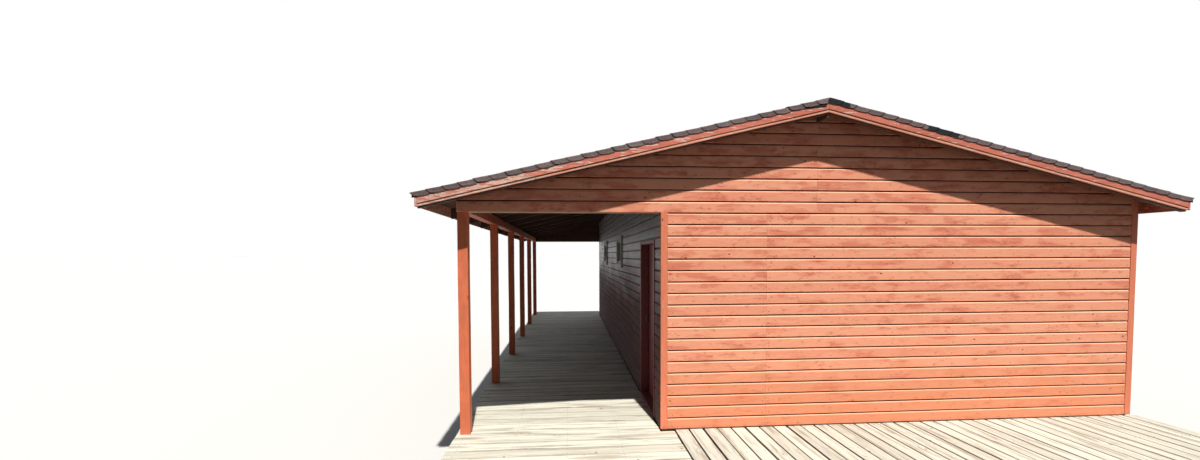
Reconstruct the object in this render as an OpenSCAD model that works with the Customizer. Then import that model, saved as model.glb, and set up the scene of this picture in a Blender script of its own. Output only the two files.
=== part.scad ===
// Timber boathouse: a boarded cabin with a side porch under one low-pitch gable roof
// Millimetres, +Z up. Ridge over X = 0, street gable towards -Y, lake towards +Y.
// Z = 0 is the foot of the piles, and the origin is the middle of the deck's length.

/* [Building] */
// Width over the porch posts and the far cabin wall
building_w = 7270; // [6600:10:8400]
// Length over the two gable walls
building_l = 8960; // [8000:20:10400]
// Width of the cabin over its two side walls
cabin_w = 5260; // [4700:20:5500]
// Thickness of the boarded walls
wall_t = 140; // [110:5:170]
// Thickness of the outside boarding
cladding_t = 22; // [18:1:28]

/* [Roof] */
// Slope of the roof in degrees
pitch = 13.4; // [11:0.2:18]
// Reach of the roof past the gable boarding
verge_reach = 170; // [120:5:400]
// Reach of the fascia's face past the posts and the far wall
eave_reach = 330; // [250:5:420]
// Width of a rafter
rafter_w = 45; // [38:1:60]
// Depth of a rafter
rafter_d = 115; // [100:1:150]
// Depth of the notch where a rafter sits on a beam or wall
birdsmouth = 24; // [12:1:24]
// Rafters on each slope between the gable walls
rafter_count = 9; // [7:1:12]
// Side gap round a rafter in its slot in the wall
slot_gap = 3; // [2:1:6]
// Thickness of the ridge board
ridge_t = 30; // [25:1:40]
// Depth of the ridge board
ridge_d = 150; // [130:5:190]
// Thickness of the roof boarding
roof_board_t = 20; // [16:1:25]
// Thickness of the shingle layer
shingle_t = 8; // [5:1:12]
// Depth of the shingles bent down over the verge
verge_lip = 56; // [45:1:70]
// Reach of the shingles past the fascia
drip = 40; // [20:1:60]
// Clearance between the layers of the roof and what they lie on
lay_gap = 0.3; // [0.2:0.05:0.5]
// Width of each leg of the ridge cap
cap_w = 150; // [120:5:180]
// Thickness of the ridge cap
cap_t = 6; // [4:1:8]
// Thickness of the verge and fascia boards
trim_t = 22; // [18:1:28]
// Height of a verge board, square to the slope
verge_h = 96; // [85:1:110]
// Height of the strip under a verge board
strip_h = 22; // [16:1:30]
// Gap between a verge board and its strip
strip_gap = 4; // [2:1:8]
// Step back of the strip's face from the verge board's face
strip_step = 5; // [2:1:8]
// Gap at the plumb joint of the two verge boards
plumb_gap = 3; // [2:1:6]
// Height of an eave fascia
fascia_h = 120; // [100:1:140]

/* [Porch] */
// Height of the porch posts, 19 boards of cladding
post_h = 2204; // [2000:1:2400]
// Side of a square post
post_w = 100; // [90:1:140]
// Posts in the row
post_count = 6; // [4:1:7]
// Height of the beam on the posts
beam_h = 110; // [95:1:140]

/* [Deck] */
// Height of the deck's walking surface
deck_h = 550; // [480:5:800]
// Thickness of the deck and floor boards
board_t = 28; // [22:1:35]
// Reach of the deck in front of the street gable
front_reach = 1100; // [900:10:1400]
// Reach of the deck behind the lake gable
rear_reach = 650; // [500:10:900]
// Reach of the deck past the posts and the far wall
deck_side = 40; // [20:1:60]
// Reach of the crosswise boards past the cabin's porch corner
cross_reach = 138; // [100:1:220]
// Gap between deck boards and what they meet
deck_gap = 8; // [5:1:12]
// Width of a joist
joist_w = 50; // [45:1:70]
// Depth of a joist
joist_d = 150; // [120:1:170]
// Bays between the joists under the porch
porch_bays = 3; // [2:1:4]
// Bays between the joists under the cabin
cabin_bays = 9; // [7:1:11]
// Width of a bearer
bearer_w = 100; // [80:1:120]
// Depth of a bearer
bearer_d = 150; // [120:1:170]
// Bearers along the deck
bearer_count = 6; // [5:1:8]
// Diameter of a pile
pile_d = 160; // [140:5:200]
// Piles under each bearer
pile_count = 5; // [4:1:6]
// Distance from the deck's edges to the outer piles
pile_inset = 110; // [100:5:160]

/* [Corner boards] */
// Width of a corner board
corner_w = 70; // [60:1:110]
// Step of a corner board in front of the cladding
corner_step = 4; // [2:1:10]

/* [Door] */
// Distance from the street gable's face to the doorway
door_y = 350; // [290:5:500]
// Clear width between the door stops
door_w = 820; // [720:5:900]
// Clear height from the deck to the head stop
door_h = 1910; // [1850:5:1960]
// Thickness of the door lining
lining_t = 30; // [25:1:35]
// Step of the door stops
stop_t = 12; // [10:1:15]
// Height of the threshold above the deck
threshold_h = 20; // [12:1:25]
// Step of the door lining in front of the wall
lining_step = 8; // [5:1:12]
// Gap round the leaf
door_gap = 5; // [5:0.5:7]
// Gap at the leaf's free edge, wider for its swing
swing_gap = 8; // [8:0.5:10]
// Thickness of the leaf's upright boards
leaf_t = 25; // [20:1:30]
// Thickness of the ledges and braces
ledge_t = 22; // [18:1:26]
// Height of a ledge
ledge_h = 120; // [118:1:140]
// Distance of the end ledges from the leaf's foot and head
ledge_inset = 150; // [120:5:220]
// Shortening of the ledges at the leaf's free edge, clear of the head and jamb in its swing
ledge_short = 24; // [16:1:40]
// Width of a brace
brace_w = 90; // [70:5:110]
// Radius of a hinge knuckle
knuckle_r = 8; // [7:0.5:10]
// Radius of a hinge pin
pin_r = 4; // [3:0.5:5]
// Running clearance of a pin in its knuckle
pin_gap = 0.1; // [0.05:0.01:0.1]
// Height of a hinge knuckle
knuckle_h = 60; // [48:2:80]
// Height of the lug above and below a knuckle
lug_h = 22; // [16:1:30]
// Clearance between a knuckle and its lugs
lug_gap = 1; // [0.5:0.1:2]
// Distance of a hinge plate from the doorway lining's outer edge
plate_edge = 2; // [1:0.5:4]
// Length of a hinge strap
strap_l = 420; // [300:10:500]
// Height of a hinge strap
strap_h = 36; // [30:1:50]
// Thickness of a hinge strap
strap_t = 5; // [4:1:6]
// Length of the pull handle on the middle ledge
handle_l = 110; // [80:1:116]
// Reach of the pull handle from the leaf
handle_stand = 42; // [36:1:48]
// Thickness of the pull handle
grip = 14; // [10:1:16]
// Distance of the pull handle from the leaf's free edge
handle_inset = 70; // [60:1:90]

/* [Windows] */
// Distance from the street gable's face to the first window
window_1_y = 3200; // [2400:20:3600]
// Distance from the street gable's face to the second window
window_2_y = 6100; // [5400:20:6800]
// Width of a window opening
window_w = 600; // [500:10:700]
// Height of a window opening
window_h = 420; // [360:10:450]
// Height of a window opening's foot above the deck
sill_z = 1635; // [1500:5:1680]
// Width of the window frame's members
sash_w = 45; // [35:1:55]
// Depth of the window frame
sash_d = 90; // [60:1:100]
// Width of the casing round a window
casing_w = 75; // [60:1:90]
// Thickness of the casing
casing_t = 26; // [20:1:32]
// Thickness of the glass
glass_t = 4; // [3:1:6]

/* [Hidden] */

over = 1; // extra length of a cutting tool
tall = 1500; // length of a cutting tool that only has to pass right through
half_w = building_w / 2;
deck_l = building_l + front_reach + rear_reach;
front_y = -deck_l / 2 + front_reach;
rear_y = front_y + building_l;
porch_x = half_w - cabin_w; // outer face of the cabin's porch-side wall, negative
porch_in = porch_x + wall_t;
far_in = half_w - wall_t;
joist_top = deck_h - board_t;
bearer_top = joist_top - joist_d;
pile_top = bearer_top - bearer_d;
wall_top = deck_h + post_h;
beam_top = wall_top + beam_h;
heel_z = beam_top - birdsmouth;
board_low = rafter_d + lay_gap; // levels of the roof's layers, square to the rafters' underside
board_high = board_low + roof_board_t;
shingle_low = board_high + lay_gap;
roof_t = shingle_low + shingle_t;
fascia_x = half_w + eave_reach;
tail_x = fascia_x - trim_t;
verge_front_y = front_y - verge_reach;
verge_rear_y = rear_y + verge_reach;
rafter_first = front_y + wall_t;
rafter_span = (building_l - 2 * wall_t) / (rafter_count + 1);
rafter_ys = [for (i = [1:rafter_count]) rafter_first + i * rafter_span];
post_y0 = front_y + cladding_t;
post_step = (building_l - 2 * cladding_t - post_w) / (post_count - 1);

// Doorway, measured along the porch-side wall
stop_y0 = front_y + door_y;
stop_y1 = stop_y0 + door_w;
leaf_zone_y0 = stop_y0 - stop_t;
leaf_zone_y1 = stop_y1 + stop_t;
rough_y0 = leaf_zone_y0 - lining_t;
rough_y1 = leaf_zone_y1 + lining_t;
rough_top = deck_h + door_h + stop_t + lining_t;
leaf_y0 = leaf_zone_y0 + door_gap;
leaf_y1 = leaf_zone_y1 - swing_gap;
leaf_z0 = deck_h + threshold_h + door_gap;
leaf_z1 = deck_h + door_h + stop_t - door_gap;
leaf_x0 = porch_in - ledge_t - leaf_t;
ledge_x0 = porch_in - ledge_t;
hinge_x = porch_in + knuckle_r + door_gap;
hinge_y = leaf_zone_y0;
ledge_zs = [leaf_z0 + ledge_inset, (leaf_z0 + leaf_z1 - ledge_h) / 2, leaf_z1 - ledge_inset - ledge_h];
hinge_zs = [ledge_zs[0] + ledge_h / 2, ledge_zs[2] + ledge_h / 2];
window_ys = [window_1_y, window_2_y];

timber = [0.76, 0.66, 0.50];
red_paint = [0.78, 0.32, 0.24];
dark_red = [0.42, 0.13, 0.13];
deck_grey = [0.86, 0.81, 0.70];
shingle_grey = [0.38, 0.30, 0.31];
iron = [0.16, 0.16, 0.17];

// Height of the rafters' underside over a place across the building
function under(x) = heel_z + (half_w - abs(x)) * tan(pitch);

// Upright height of a layer that is t thick square to the slope
function rise(t) = t / cos(pitch);

// A layer of the roof slope between two places and two distances from the rafters' underside
module slope_band(x_in, x_out, low, high) {
    polygon([[x_in, under(x_in) + rise(low)], [x_out, under(x_out) + rise(low)],
             [x_out, under(x_out) + rise(high)], [x_in, under(x_in) + rise(high)]]);
}

// Draws an outline in X and Z along the building from y0 to y1
module along(y0, y1) {
    translate([0, y1, 0]) rotate([90, 0, 0]) linear_extrude(y1 - y0) children();
}

// A box from its lowest corner to its highest
module block(low, high) {
    translate(low) cube(high - low);
}

module porch_side() {
    mirror([1, 0, 0]) children();
}

module lake_end() {
    translate([0, front_y + rear_y, 0]) mirror([0, 1, 0]) children();
}

// Foundation and deck

pile_x0 = half_w + deck_side - pile_inset;
bearer_y0 = deck_l / 2 - pile_inset;
bearer_ys = [for (i = [0:bearer_count - 1]) -bearer_y0 + i * 2 * bearer_y0 / (bearer_count - 1)];
porch_joist_x0 = -half_w + post_w / 2;
cabin_joist_x0 = porch_x + wall_t / 2;
cabin_joist_x1 = half_w - wall_t / 2;
cabin_joist_step = (cabin_joist_x1 - cabin_joist_x0) / cabin_bays;
porch_joist_step = (cabin_joist_x0 - porch_joist_x0) / porch_bays;
cabin_joist_xs = [for (i = [0:cabin_bays]) round(cabin_joist_x0 + i * cabin_joist_step)];
porch_joist_xs = [for (i = [0:porch_bays - 1]) round(porch_joist_x0 + i * porch_joist_step)];

module piles() {
    color(timber)
    for (y = bearer_ys, i = [0:pile_count - 1])
        translate([-pile_x0 + i * 2 * pile_x0 / (pile_count - 1), y, 0])
            cylinder(h = pile_top, d = pile_d, $fn = 32);
}

module bearers() {
    color(timber)
    for (y = bearer_ys)
        block([-half_w - deck_side, y - bearer_w / 2, pile_top],
              [half_w + deck_side, y + bearer_w / 2, bearer_top]);
}

module joists() {
    color(timber)
    for (x = concat(porch_joist_xs, cabin_joist_xs))
        block([x - joist_w / 2, -deck_l / 2 + joist_w, bearer_top],
              [x + joist_w / 2, deck_l / 2 - joist_w, joist_top]);
}

// Short pieces between the joists that carry the lengthwise boards, and the end headers
module noggings() {
    front_rows = [(-deck_l / 2 + front_y) / 2, front_y - joist_w];
    rear_rows = [rear_y + joist_w, (deck_l / 2 + rear_y) / 2];
    color(timber) {
        for (y = concat(front_rows, rear_rows), i = [0:cabin_bays - 1])
            block([cabin_joist_xs[i] + joist_w / 2, y - joist_w / 2, bearer_top],
                  [cabin_joist_xs[i + 1] - joist_w / 2, y + joist_w / 2, joist_top]);
        for (y = [-deck_l / 2, deck_l / 2 - joist_w])
            block([-half_w - deck_side, y, bearer_top], [half_w + deck_side, y + joist_w, joist_top]);
    }
}

module porch_deck() {
    cross_x = porch_x + cross_reach;
    color(deck_grey) {
        block([-half_w - deck_side, -deck_l / 2, joist_top], [porch_x - deck_gap, deck_l / 2, deck_h]);
        block([porch_x - deck_gap - over, -deck_l / 2, joist_top], [cross_x, front_y - deck_gap, deck_h]);
        block([porch_x - deck_gap - over, rear_y + deck_gap, joist_top], [cross_x, deck_l / 2, deck_h]);
    }
}

module landing(y0, y1) {
    color(deck_grey)
    block([porch_x + cross_reach + deck_gap, y0, joist_top], [half_w + deck_side, y1, deck_h]);
}

module front_landing() {
    landing(-deck_l / 2, front_y - deck_gap);
}

module rear_landing() {
    landing(rear_y + deck_gap, deck_l / 2);
}

module cabin_floor() {
    color(timber)
    block([porch_in, front_y + wall_t, joist_top], [far_in, rear_y - wall_t, deck_h]);
}

// Walls

// Corner board strips, which the walls are rebated for
module corner_strip(x0, top) {
    block([x0, front_y - corner_step, deck_h], [x0 + corner_w, front_y + cladding_t, top]);
}

module corner_pair() {
    corner_strip(porch_x, wall_top);
    corner_strip(half_w - corner_w, under(half_w) + rise(rafter_d));
}

module end_wall() {
    color(red_paint)
    difference() {
        block([porch_x, front_y, joist_top], [half_w, front_y + wall_t, wall_top]);
        corner_pair();
    }
}

// The boarded gable from the posts to the far wall, over the cabin and the porch opening
module end_gable() {
    color(red_paint)
    difference() {
        along(front_y, front_y + wall_t)
            polygon([[-half_w, wall_top], [half_w, wall_top], [half_w, under(half_w) + rise(rafter_d)],
                     [0, under(0) + rise(rafter_d)], [-half_w, under(half_w) + rise(rafter_d)]]);
        block([-half_w - over, front_y + cladding_t, wall_top - over],
              [-half_w + post_w, front_y + wall_t + over, beam_top]);
        corner_pair();
    }
}

module front_wall() {
    end_wall();
}

module front_gable() {
    end_gable();
}

module rear_wall() {
    lake_end() end_wall();
}

module rear_gable() {
    lake_end() end_gable();
}

module corner_boards_front() {
    color(red_paint) corner_pair();
}

module corner_boards_rear() {
    color(red_paint) lake_end() corner_pair();
}

// Slots that the rafters pass through, with their seats at the wall's outer face
module rafter_slots(x_out, x_in) {
    for (y = rafter_ys)
        block([min(x_out, x_in) - over, y - rafter_w / 2 - slot_gap, under(x_out) + birdsmouth],
              [max(x_out, x_in) + over, y + rafter_w / 2 + slot_gap, under(x_out) + tall]);
}

// A side wall between two places along the building, with its top against the roof boarding
module side_wall(x_out, x_in, y0, y1, foot) {
    color(red_paint)
    difference() {
        along(y0, y1)
            polygon([[x_out, foot], [x_in, foot], [x_in, under(x_in) + rise(rafter_d)],
                     [x_out, under(x_out) + rise(rafter_d)]]);
        rafter_slots(x_out, x_in);
        children();
    }
}

module far_side_wall() {
    side_wall(half_w, far_in, front_y + wall_t, rear_y - wall_t, joist_top);
}

module porch_wall_front() {
    side_wall(porch_x, porch_in, front_y + wall_t, rough_y0, joist_top);
}

module porch_wall_over_door() {
    side_wall(porch_x, porch_in, rough_y0, rough_y1, rough_top);
}

module porch_wall_rear() {
    side_wall(porch_x, porch_in, rough_y1, rear_y - wall_t, joist_top)
        for (y = window_ys)
            block([porch_x - over, front_y + y, deck_h + sill_z],
                  [porch_in + over, front_y + y + window_w, deck_h + sill_z + window_h]);
}

// Door

// Lining, stops and threshold in one frame, with the rebate for the leaf on the inside
module door_frame() {
    color(dark_red)
    difference() {
        block([porch_x - lining_step, rough_y0, joist_top], [porch_in, rough_y1, rough_top]);
        block([porch_x - lining_step - over, stop_y0, deck_h + threshold_h],
              [porch_in + over, stop_y1, deck_h + door_h]);
        block([leaf_x0 - door_gap, leaf_zone_y0, deck_h + threshold_h],
              [porch_in + over, leaf_zone_y1, deck_h + door_h + stop_t]);
    }
}

module brace(z0, z1) {
    run = leaf_y1 - leaf_y0 - 2 * ledge_h;
    translate([ledge_x0, leaf_y0 + ledge_h, 0])
        rotate([90, 0, 90])
            linear_extrude(ledge_t)
                polygon([[0, z0], [brace_w, z0], [run, z1], [run - brace_w, z1]]);
}

module door_leaf() {
    color(dark_red) {
        block([leaf_x0, leaf_y0, leaf_z0], [ledge_x0, leaf_y1, leaf_z1]);
        for (z = ledge_zs)
            block([ledge_x0, leaf_y0, z], [porch_in, leaf_y1 - ledge_short, z + ledge_h]);
        brace(ledge_zs[0] + ledge_h, ledge_zs[1]);
        brace(ledge_zs[1] + ledge_h, ledge_zs[2]);
    }
}

// A bow handle that stands out from a face, towards the porch or into the cabin
module pull(face_x, outward) {
    y = leaf_y1 - handle_inset;
    z = ledge_zs[1] + ledge_h / 2;
    translate([face_x, y, z]) mirror([outward ? 1 : 0, 0, 0])
        difference() {
            block([0, -grip / 2, -handle_l / 2], [handle_stand, grip / 2, handle_l / 2]);
            block([-over, -grip, grip - handle_l / 2], [handle_stand - grip, grip, handle_l / 2 - grip]);
        }
}

// A pull on each side of the door, the inner one on the middle ledge
module door_handle() {
    color(iron) {
        pull(leaf_x0, true);
        pull(porch_in, false);
    }
}

// Straps on the ledges, each with the knuckle that turns on the pin
module hinge_straps() {
    color(iron)
    for (z = hinge_zs)
        difference() {
            union() {
                block([porch_in, leaf_y0, z - strap_h / 2],
                      [porch_in + strap_t, leaf_y0 + strap_l, z + strap_h / 2]);
                block([porch_in, leaf_y0, z - strap_h / 2],
                      [hinge_x + knuckle_r, leaf_y0 + 2 * knuckle_r, z + strap_h / 2]);
                block([hinge_x, hinge_y, z - strap_h / 2],
                      [hinge_x + knuckle_r, leaf_y0 + over, z + strap_h / 2]);
                translate([hinge_x, hinge_y, z - knuckle_h / 2]) cylinder(h = knuckle_h, r = knuckle_r, $fn = 48);
            }
            translate([hinge_x, hinge_y, z - knuckle_h / 2 - over])
                cylinder(h = knuckle_h + 2 * over, r = pin_r + pin_gap, $fn = 48);
        }
}

// Pins held by a lug above and below each knuckle, on a plate on the door lining
module hinge_pins() {
    plate_y = rough_y0 + plate_edge;
    half_h = knuckle_h / 2 + lug_gap + lug_h;
    color(iron)
    for (z = hinge_zs) {
        translate([hinge_x, hinge_y, z - half_h]) cylinder(h = 2 * half_h, r = pin_r, $fn = 48);
        for (lug_z = [z - half_h, z + half_h - lug_h]) {
            translate([hinge_x, hinge_y, lug_z]) cylinder(h = lug_h, r = knuckle_r, $fn = 48);
            block([porch_in, plate_y, lug_z], [hinge_x, hinge_y, lug_z + lug_h]);
        }
        block([porch_in, plate_y, z - half_h], [porch_in + strap_t, hinge_y - 2 * knuckle_r, z + half_h]);
    }
}

// Windows

// Frame in the wall with a casing standing out round it, and a rebate for the glass
module window_frame(y) {
    low = [porch_x, front_y + y, deck_h + sill_z];
    high = low + [sash_d, window_w, window_h];
    around = [0, casing_w, casing_w];
    inside = [0, sash_w, sash_w];
    color(timber)
    difference() {
        union() {
            block(low, high);
            block(low - around - [casing_t, 0, 0], [porch_x, high[1], high[2]] + around);
        }
        block(low + inside - [casing_t + over, 0, 0], high - inside + [over, 0, 0]);
    }
}

module window_frame_1() {
    window_frame(window_1_y);
}

module window_frame_2() {
    window_frame(window_2_y);
}

module window_glass() {
    glass_x = porch_x + sash_d / 2;
    color([0.75, 0.85, 0.88, 0.4])
    for (y = window_ys)
        block([glass_x, front_y + y + sash_w, deck_h + sill_z + sash_w],
              [glass_x + glass_t, front_y + y + window_w - sash_w, deck_h + sill_z + window_h - sash_w]);
}

// Porch posts and beam

module post(number) {
    y = post_y0 + (number - 1) * post_step;
    color(red_paint) block([-half_w, y, deck_h], [-half_w + post_w, y + post_w, wall_top]);
}

module porch_beam() {
    color(red_paint)
    block([-half_w, front_y + cladding_t, wall_top], [-half_w + post_w, rear_y - cladding_t, beam_top]);
}

// Roof

// One rafter with a birdsmouth at each outer face in the list, each a pair of face and width
module rafter_outline(seats) {
    difference() {
        slope_band(ridge_t / 2, tail_x, 0, rafter_d);
        for (seat = seats)
            translate([seat[0] - seat[1], under(seat[0]) + birdsmouth - tall]) square([seat[1], tall]);
    }
}

module rafters(seats) {
    for (y = rafter_ys)
        along(y - rafter_w / 2, y + rafter_w / 2) rafter_outline(seats);
    along(verge_front_y, verge_front_y + rafter_w) rafter_outline([]);
    along(verge_rear_y - rafter_w, verge_rear_y) rafter_outline([]);
}

module rafters_porch_side() {
    color(timber) porch_side() rafters([[half_w, post_w], [-porch_x, wall_t]]);
}

module rafters_far_side() {
    color(timber) rafters([[half_w, wall_t]]);
}

module ridge_board() {
    top = under(ridge_t / 2) + rise(rafter_d);
    color(timber) {
        block([-ridge_t / 2, front_y + wall_t, top - ridge_d], [ridge_t / 2, rear_y - wall_t, top]);
        for (y = [verge_front_y, rear_y])
            block([-ridge_t / 2, y, top - ridge_d], [ridge_t / 2, y + verge_reach, top]);
    }
}

module roof_boarding() {
    color(timber)
    along(verge_front_y, verge_rear_y) slope_band(0, tail_x, board_low, board_high);
}

module roof_boarding_porch_side() {
    porch_side() roof_boarding();
}

module roof_boarding_far_side() {
    roof_boarding();
}

// Shingle layer with its edges bent down over both verges
module shingles() {
    low_y = verge_front_y - trim_t - shingle_t;
    high_y = verge_rear_y + trim_t + shingle_t;
    color(shingle_grey) {
        along(low_y, high_y) slope_band(0, fascia_x + drip, shingle_low, roof_t);
        for (y = [low_y, high_y - shingle_t])
            along(y, y + shingle_t) slope_band(0, fascia_x + drip, roof_t - verge_lip, roof_t);
    }
}

module shingles_porch_side() {
    porch_side() shingles();
}

module shingles_far_side() {
    shingles();
}

module ridge_cap() {
    low_y = verge_front_y - trim_t - shingle_t;
    high_y = verge_rear_y + trim_t + shingle_t;
    foot = under(cap_w) + rise(roof_t + lay_gap);
    crown = under(0) + rise(roof_t + lay_gap);
    color(shingle_grey)
    along(low_y, high_y)
        polygon([[-cap_w, foot], [0, crown], [cap_w, foot], [cap_w, foot + rise(cap_t)],
                 [0, crown + rise(cap_t)], [-cap_w, foot + rise(cap_t)]]);
}

// Boards up both slopes, from the plumb joint under the ridge to the back of the fascias
module verge_pair(y, low, high, t) {
    for (side = [0, 1])
        mirror([side, 0, 0]) along(y, y + t) slope_band(plumb_gap / 2, tail_x, low, high);
}

strip_top = board_high - verge_h - strip_gap;

module verge_boards_front() {
    color(red_paint) verge_pair(verge_front_y - trim_t, board_high - verge_h, board_high, trim_t);
}

module verge_boards_rear() {
    color(red_paint) verge_pair(verge_rear_y, board_high - verge_h, board_high, trim_t);
}

module verge_strips() {
    strip_t = trim_t - strip_step;
    color(red_paint) {
        verge_pair(verge_front_y - strip_t, strip_top - strip_h, strip_top, strip_t);
        verge_pair(verge_rear_y, strip_top - strip_h, strip_top, strip_t);
    }
}

// The board across the rafters' tails, which runs past the verge boards' ends
module fascia() {
    foot = under(fascia_x) + rise(board_high) - fascia_h;
    color(red_paint)
    along(verge_front_y - trim_t, verge_rear_y + trim_t)
        polygon([[tail_x, foot], [fascia_x, foot], [fascia_x, under(fascia_x) + rise(board_high)],
                 [tail_x, under(tail_x) + rise(board_high)]]);
}

module fascia_porch_side() {
    porch_side() fascia();
}

module fascia_far_side() {
    fascia();
}

piles();
bearers();
joists();
noggings();
porch_deck();
front_landing();
rear_landing();
cabin_floor();
front_wall();
front_gable();
rear_wall();
rear_gable();
far_side_wall();
porch_wall_front();
porch_wall_over_door();
porch_wall_rear();
corner_boards_front();
corner_boards_rear();
door_frame();
door_leaf();
door_handle();
hinge_straps();
hinge_pins();
window_frame_1();
window_frame_2();
window_glass();
post(1);  // post_1
post(2);  // post_2
post(3);  // post_3
post(4);  // post_4
post(5);  // post_5
post(6);  // post_6
porch_beam();
rafters_porch_side();
rafters_far_side();
ridge_board();
roof_boarding_porch_side();
roof_boarding_far_side();
shingles_porch_side();
shingles_far_side();
ridge_cap();
verge_boards_front();
verge_boards_rear();
verge_strips();
fascia_porch_side();
fascia_far_side();
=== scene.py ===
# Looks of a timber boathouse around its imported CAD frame: boards, shingles, nails, worn paint
import math
import random

import bmesh
import bpy
import numpy as np
from mathutils import Matrix, Vector


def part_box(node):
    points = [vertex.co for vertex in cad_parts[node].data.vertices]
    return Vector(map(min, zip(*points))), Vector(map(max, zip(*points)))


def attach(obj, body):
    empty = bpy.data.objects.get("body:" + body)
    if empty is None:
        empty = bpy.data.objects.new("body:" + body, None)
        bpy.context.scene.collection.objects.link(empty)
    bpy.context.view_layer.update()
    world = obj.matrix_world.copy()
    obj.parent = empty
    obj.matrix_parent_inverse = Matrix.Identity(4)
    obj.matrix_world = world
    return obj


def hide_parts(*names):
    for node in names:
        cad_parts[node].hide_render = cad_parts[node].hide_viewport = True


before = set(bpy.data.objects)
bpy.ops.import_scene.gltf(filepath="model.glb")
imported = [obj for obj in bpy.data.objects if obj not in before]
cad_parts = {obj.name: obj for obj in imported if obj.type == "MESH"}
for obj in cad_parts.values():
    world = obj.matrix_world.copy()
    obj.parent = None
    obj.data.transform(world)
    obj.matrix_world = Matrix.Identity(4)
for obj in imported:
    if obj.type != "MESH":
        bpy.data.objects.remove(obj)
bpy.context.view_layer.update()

# Places that many pieces share, read from the frame
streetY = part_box("front_wall")[0].y
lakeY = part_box("rear_wall")[1].y
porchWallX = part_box("rear_wall")[0].x
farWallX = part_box("far_side_wall")[1].x
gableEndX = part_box("front_gable")[0].x
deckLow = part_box("porch_deck")[0]
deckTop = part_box("porch_deck")[1].z
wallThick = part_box("front_wall")[1].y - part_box("front_wall")[0].y
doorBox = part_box("door_frame")
windowBoxes = [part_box("window_frame_1"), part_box("window_frame_2")]
roof = {"slope": math.tan(math.radians(13.4)), "cosine": math.cos(math.radians(13.4)), "heelZ": 2.840,
        "rafterDepth": 0.115, "boardLow": 0.1153, "shingleLow": 0.1356, "top": 0.1436}
boardingLow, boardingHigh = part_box("roof_boarding_far_side")
roof.update(verge=boardingLow.y, vergeLake=boardingHigh.y, tailX=boardingHigh.x,
            dripX=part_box("shingles_far_side")[1].x)
boardCover = 0.116  # height that one cladding board covers
headRows = 19  # boards below the head of the porch opening
hair = 0.0005  # keeps two faces apart


def roofZ(x, level):
    # Height of a roof level, measured square to the slope from the rafters' underside
    return roof["heelZ"] + (farWallX - abs(x)) * roof["slope"] + level / roof["cosine"]


# Helpers for nodes
def setSocket(tree, socket, value):
    if isinstance(value, bpy.types.NodeSocket):
        tree.links.new(value, socket)
    else:
        socket.default_value = value


def addNode(tree, kind, settings=None, **inputs):
    # Inputs go by their label, or by i and their number
    made = tree.nodes.new(kind)
    for key, value in (settings or {}).items():
        setattr(made, key, value)
    for key, value in inputs.items():
        numbered = key[0] == "i" and key[1:].isdigit()
        setSocket(tree, made.inputs[int(key[1:]) if numbered else key.replace("_", " ")], value)
    return made


def newGroup(name, kind, inputs, outputs, outKind="NodeSocketFloat"):
    # Each input has a label and a value, or the kind of its socket where it has no value
    tree = bpy.data.node_groups.new(name, kind)
    kinds = {float: "NodeSocketFloat", int: "NodeSocketInt", tuple: "NodeSocketVector"}
    for label, value in inputs.items():
        held = kinds.get(type(value), value)
        socket = tree.interface.new_socket(label, in_out="INPUT", socket_type=held)
        if type(value) in kinds:
            socket.default_value = value
    for label in outputs:
        tree.interface.new_socket(label, in_out="OUTPUT", socket_type=outKind)
    return tree, tree.nodes.new("NodeGroupInput").outputs, tree.nodes.new("NodeGroupOutput").inputs


def math2(tree, operation, a, b=0.0, clamp=False):
    settings = {"operation": operation, "use_clamp": clamp}
    return addNode(tree, "ShaderNodeMath", settings, i0=a, i1=b).outputs[0]


def vector2(tree, operation, a, b):
    return addNode(tree, "ShaderNodeVectorMath", {"operation": operation}, i0=a, i1=b).outputs[0]


def lengthOf(tree, vector):
    return addNode(tree, "ShaderNodeVectorMath", {"operation": "LENGTH"}, i0=vector).outputs["Value"]


def rangeOf(tree, value, fromLow, fromHigh, low=0.0, high=1.0, kind="LINEAR"):
    return addNode(tree, "ShaderNodeMapRange", {"interpolation_type": kind}, Value=value,
                   i1=fromLow, i2=fromHigh, i3=low, i4=high).outputs[0]


def noise(tree, place, scale, detail, **more):
    return addNode(tree, "ShaderNodeTexNoise", Vector=place, Scale=scale, Detail=detail, **more).outputs[0]


def mixColour(tree, factor, a, b, share=None):
    # Goes from colour a to colour b by the factor, or by a share of it
    if share is not None:
        factor = math2(tree, "MULTIPLY", factor, share)
    made = addNode(tree, "ShaderNodeMix", {"data_type": "RGBA"}, i0=factor)
    for number, colour in ((6, a), (7, b)):
        setSocket(tree, made.inputs[number], (*colour, 1.0) if isinstance(colour, tuple) else colour)
    return made.outputs[2]


def attribute(tree, name, output="Fac"):
    return addNode(tree, "ShaderNodeAttribute", {"attribute_name": name}).outputs[output]


def seenStraight(tree):
    # 1 where the eye sees a thing itself, in a mirror or through glass
    looked = tree.nodes.new("ShaderNodeLightPath").outputs
    either = math2(tree, "MAXIMUM", looked["Is Camera Ray"], looked["Is Glossy Ray"])
    return math2(tree, "MAXIMUM", either, looked["Is Transmission Ray"])


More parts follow.
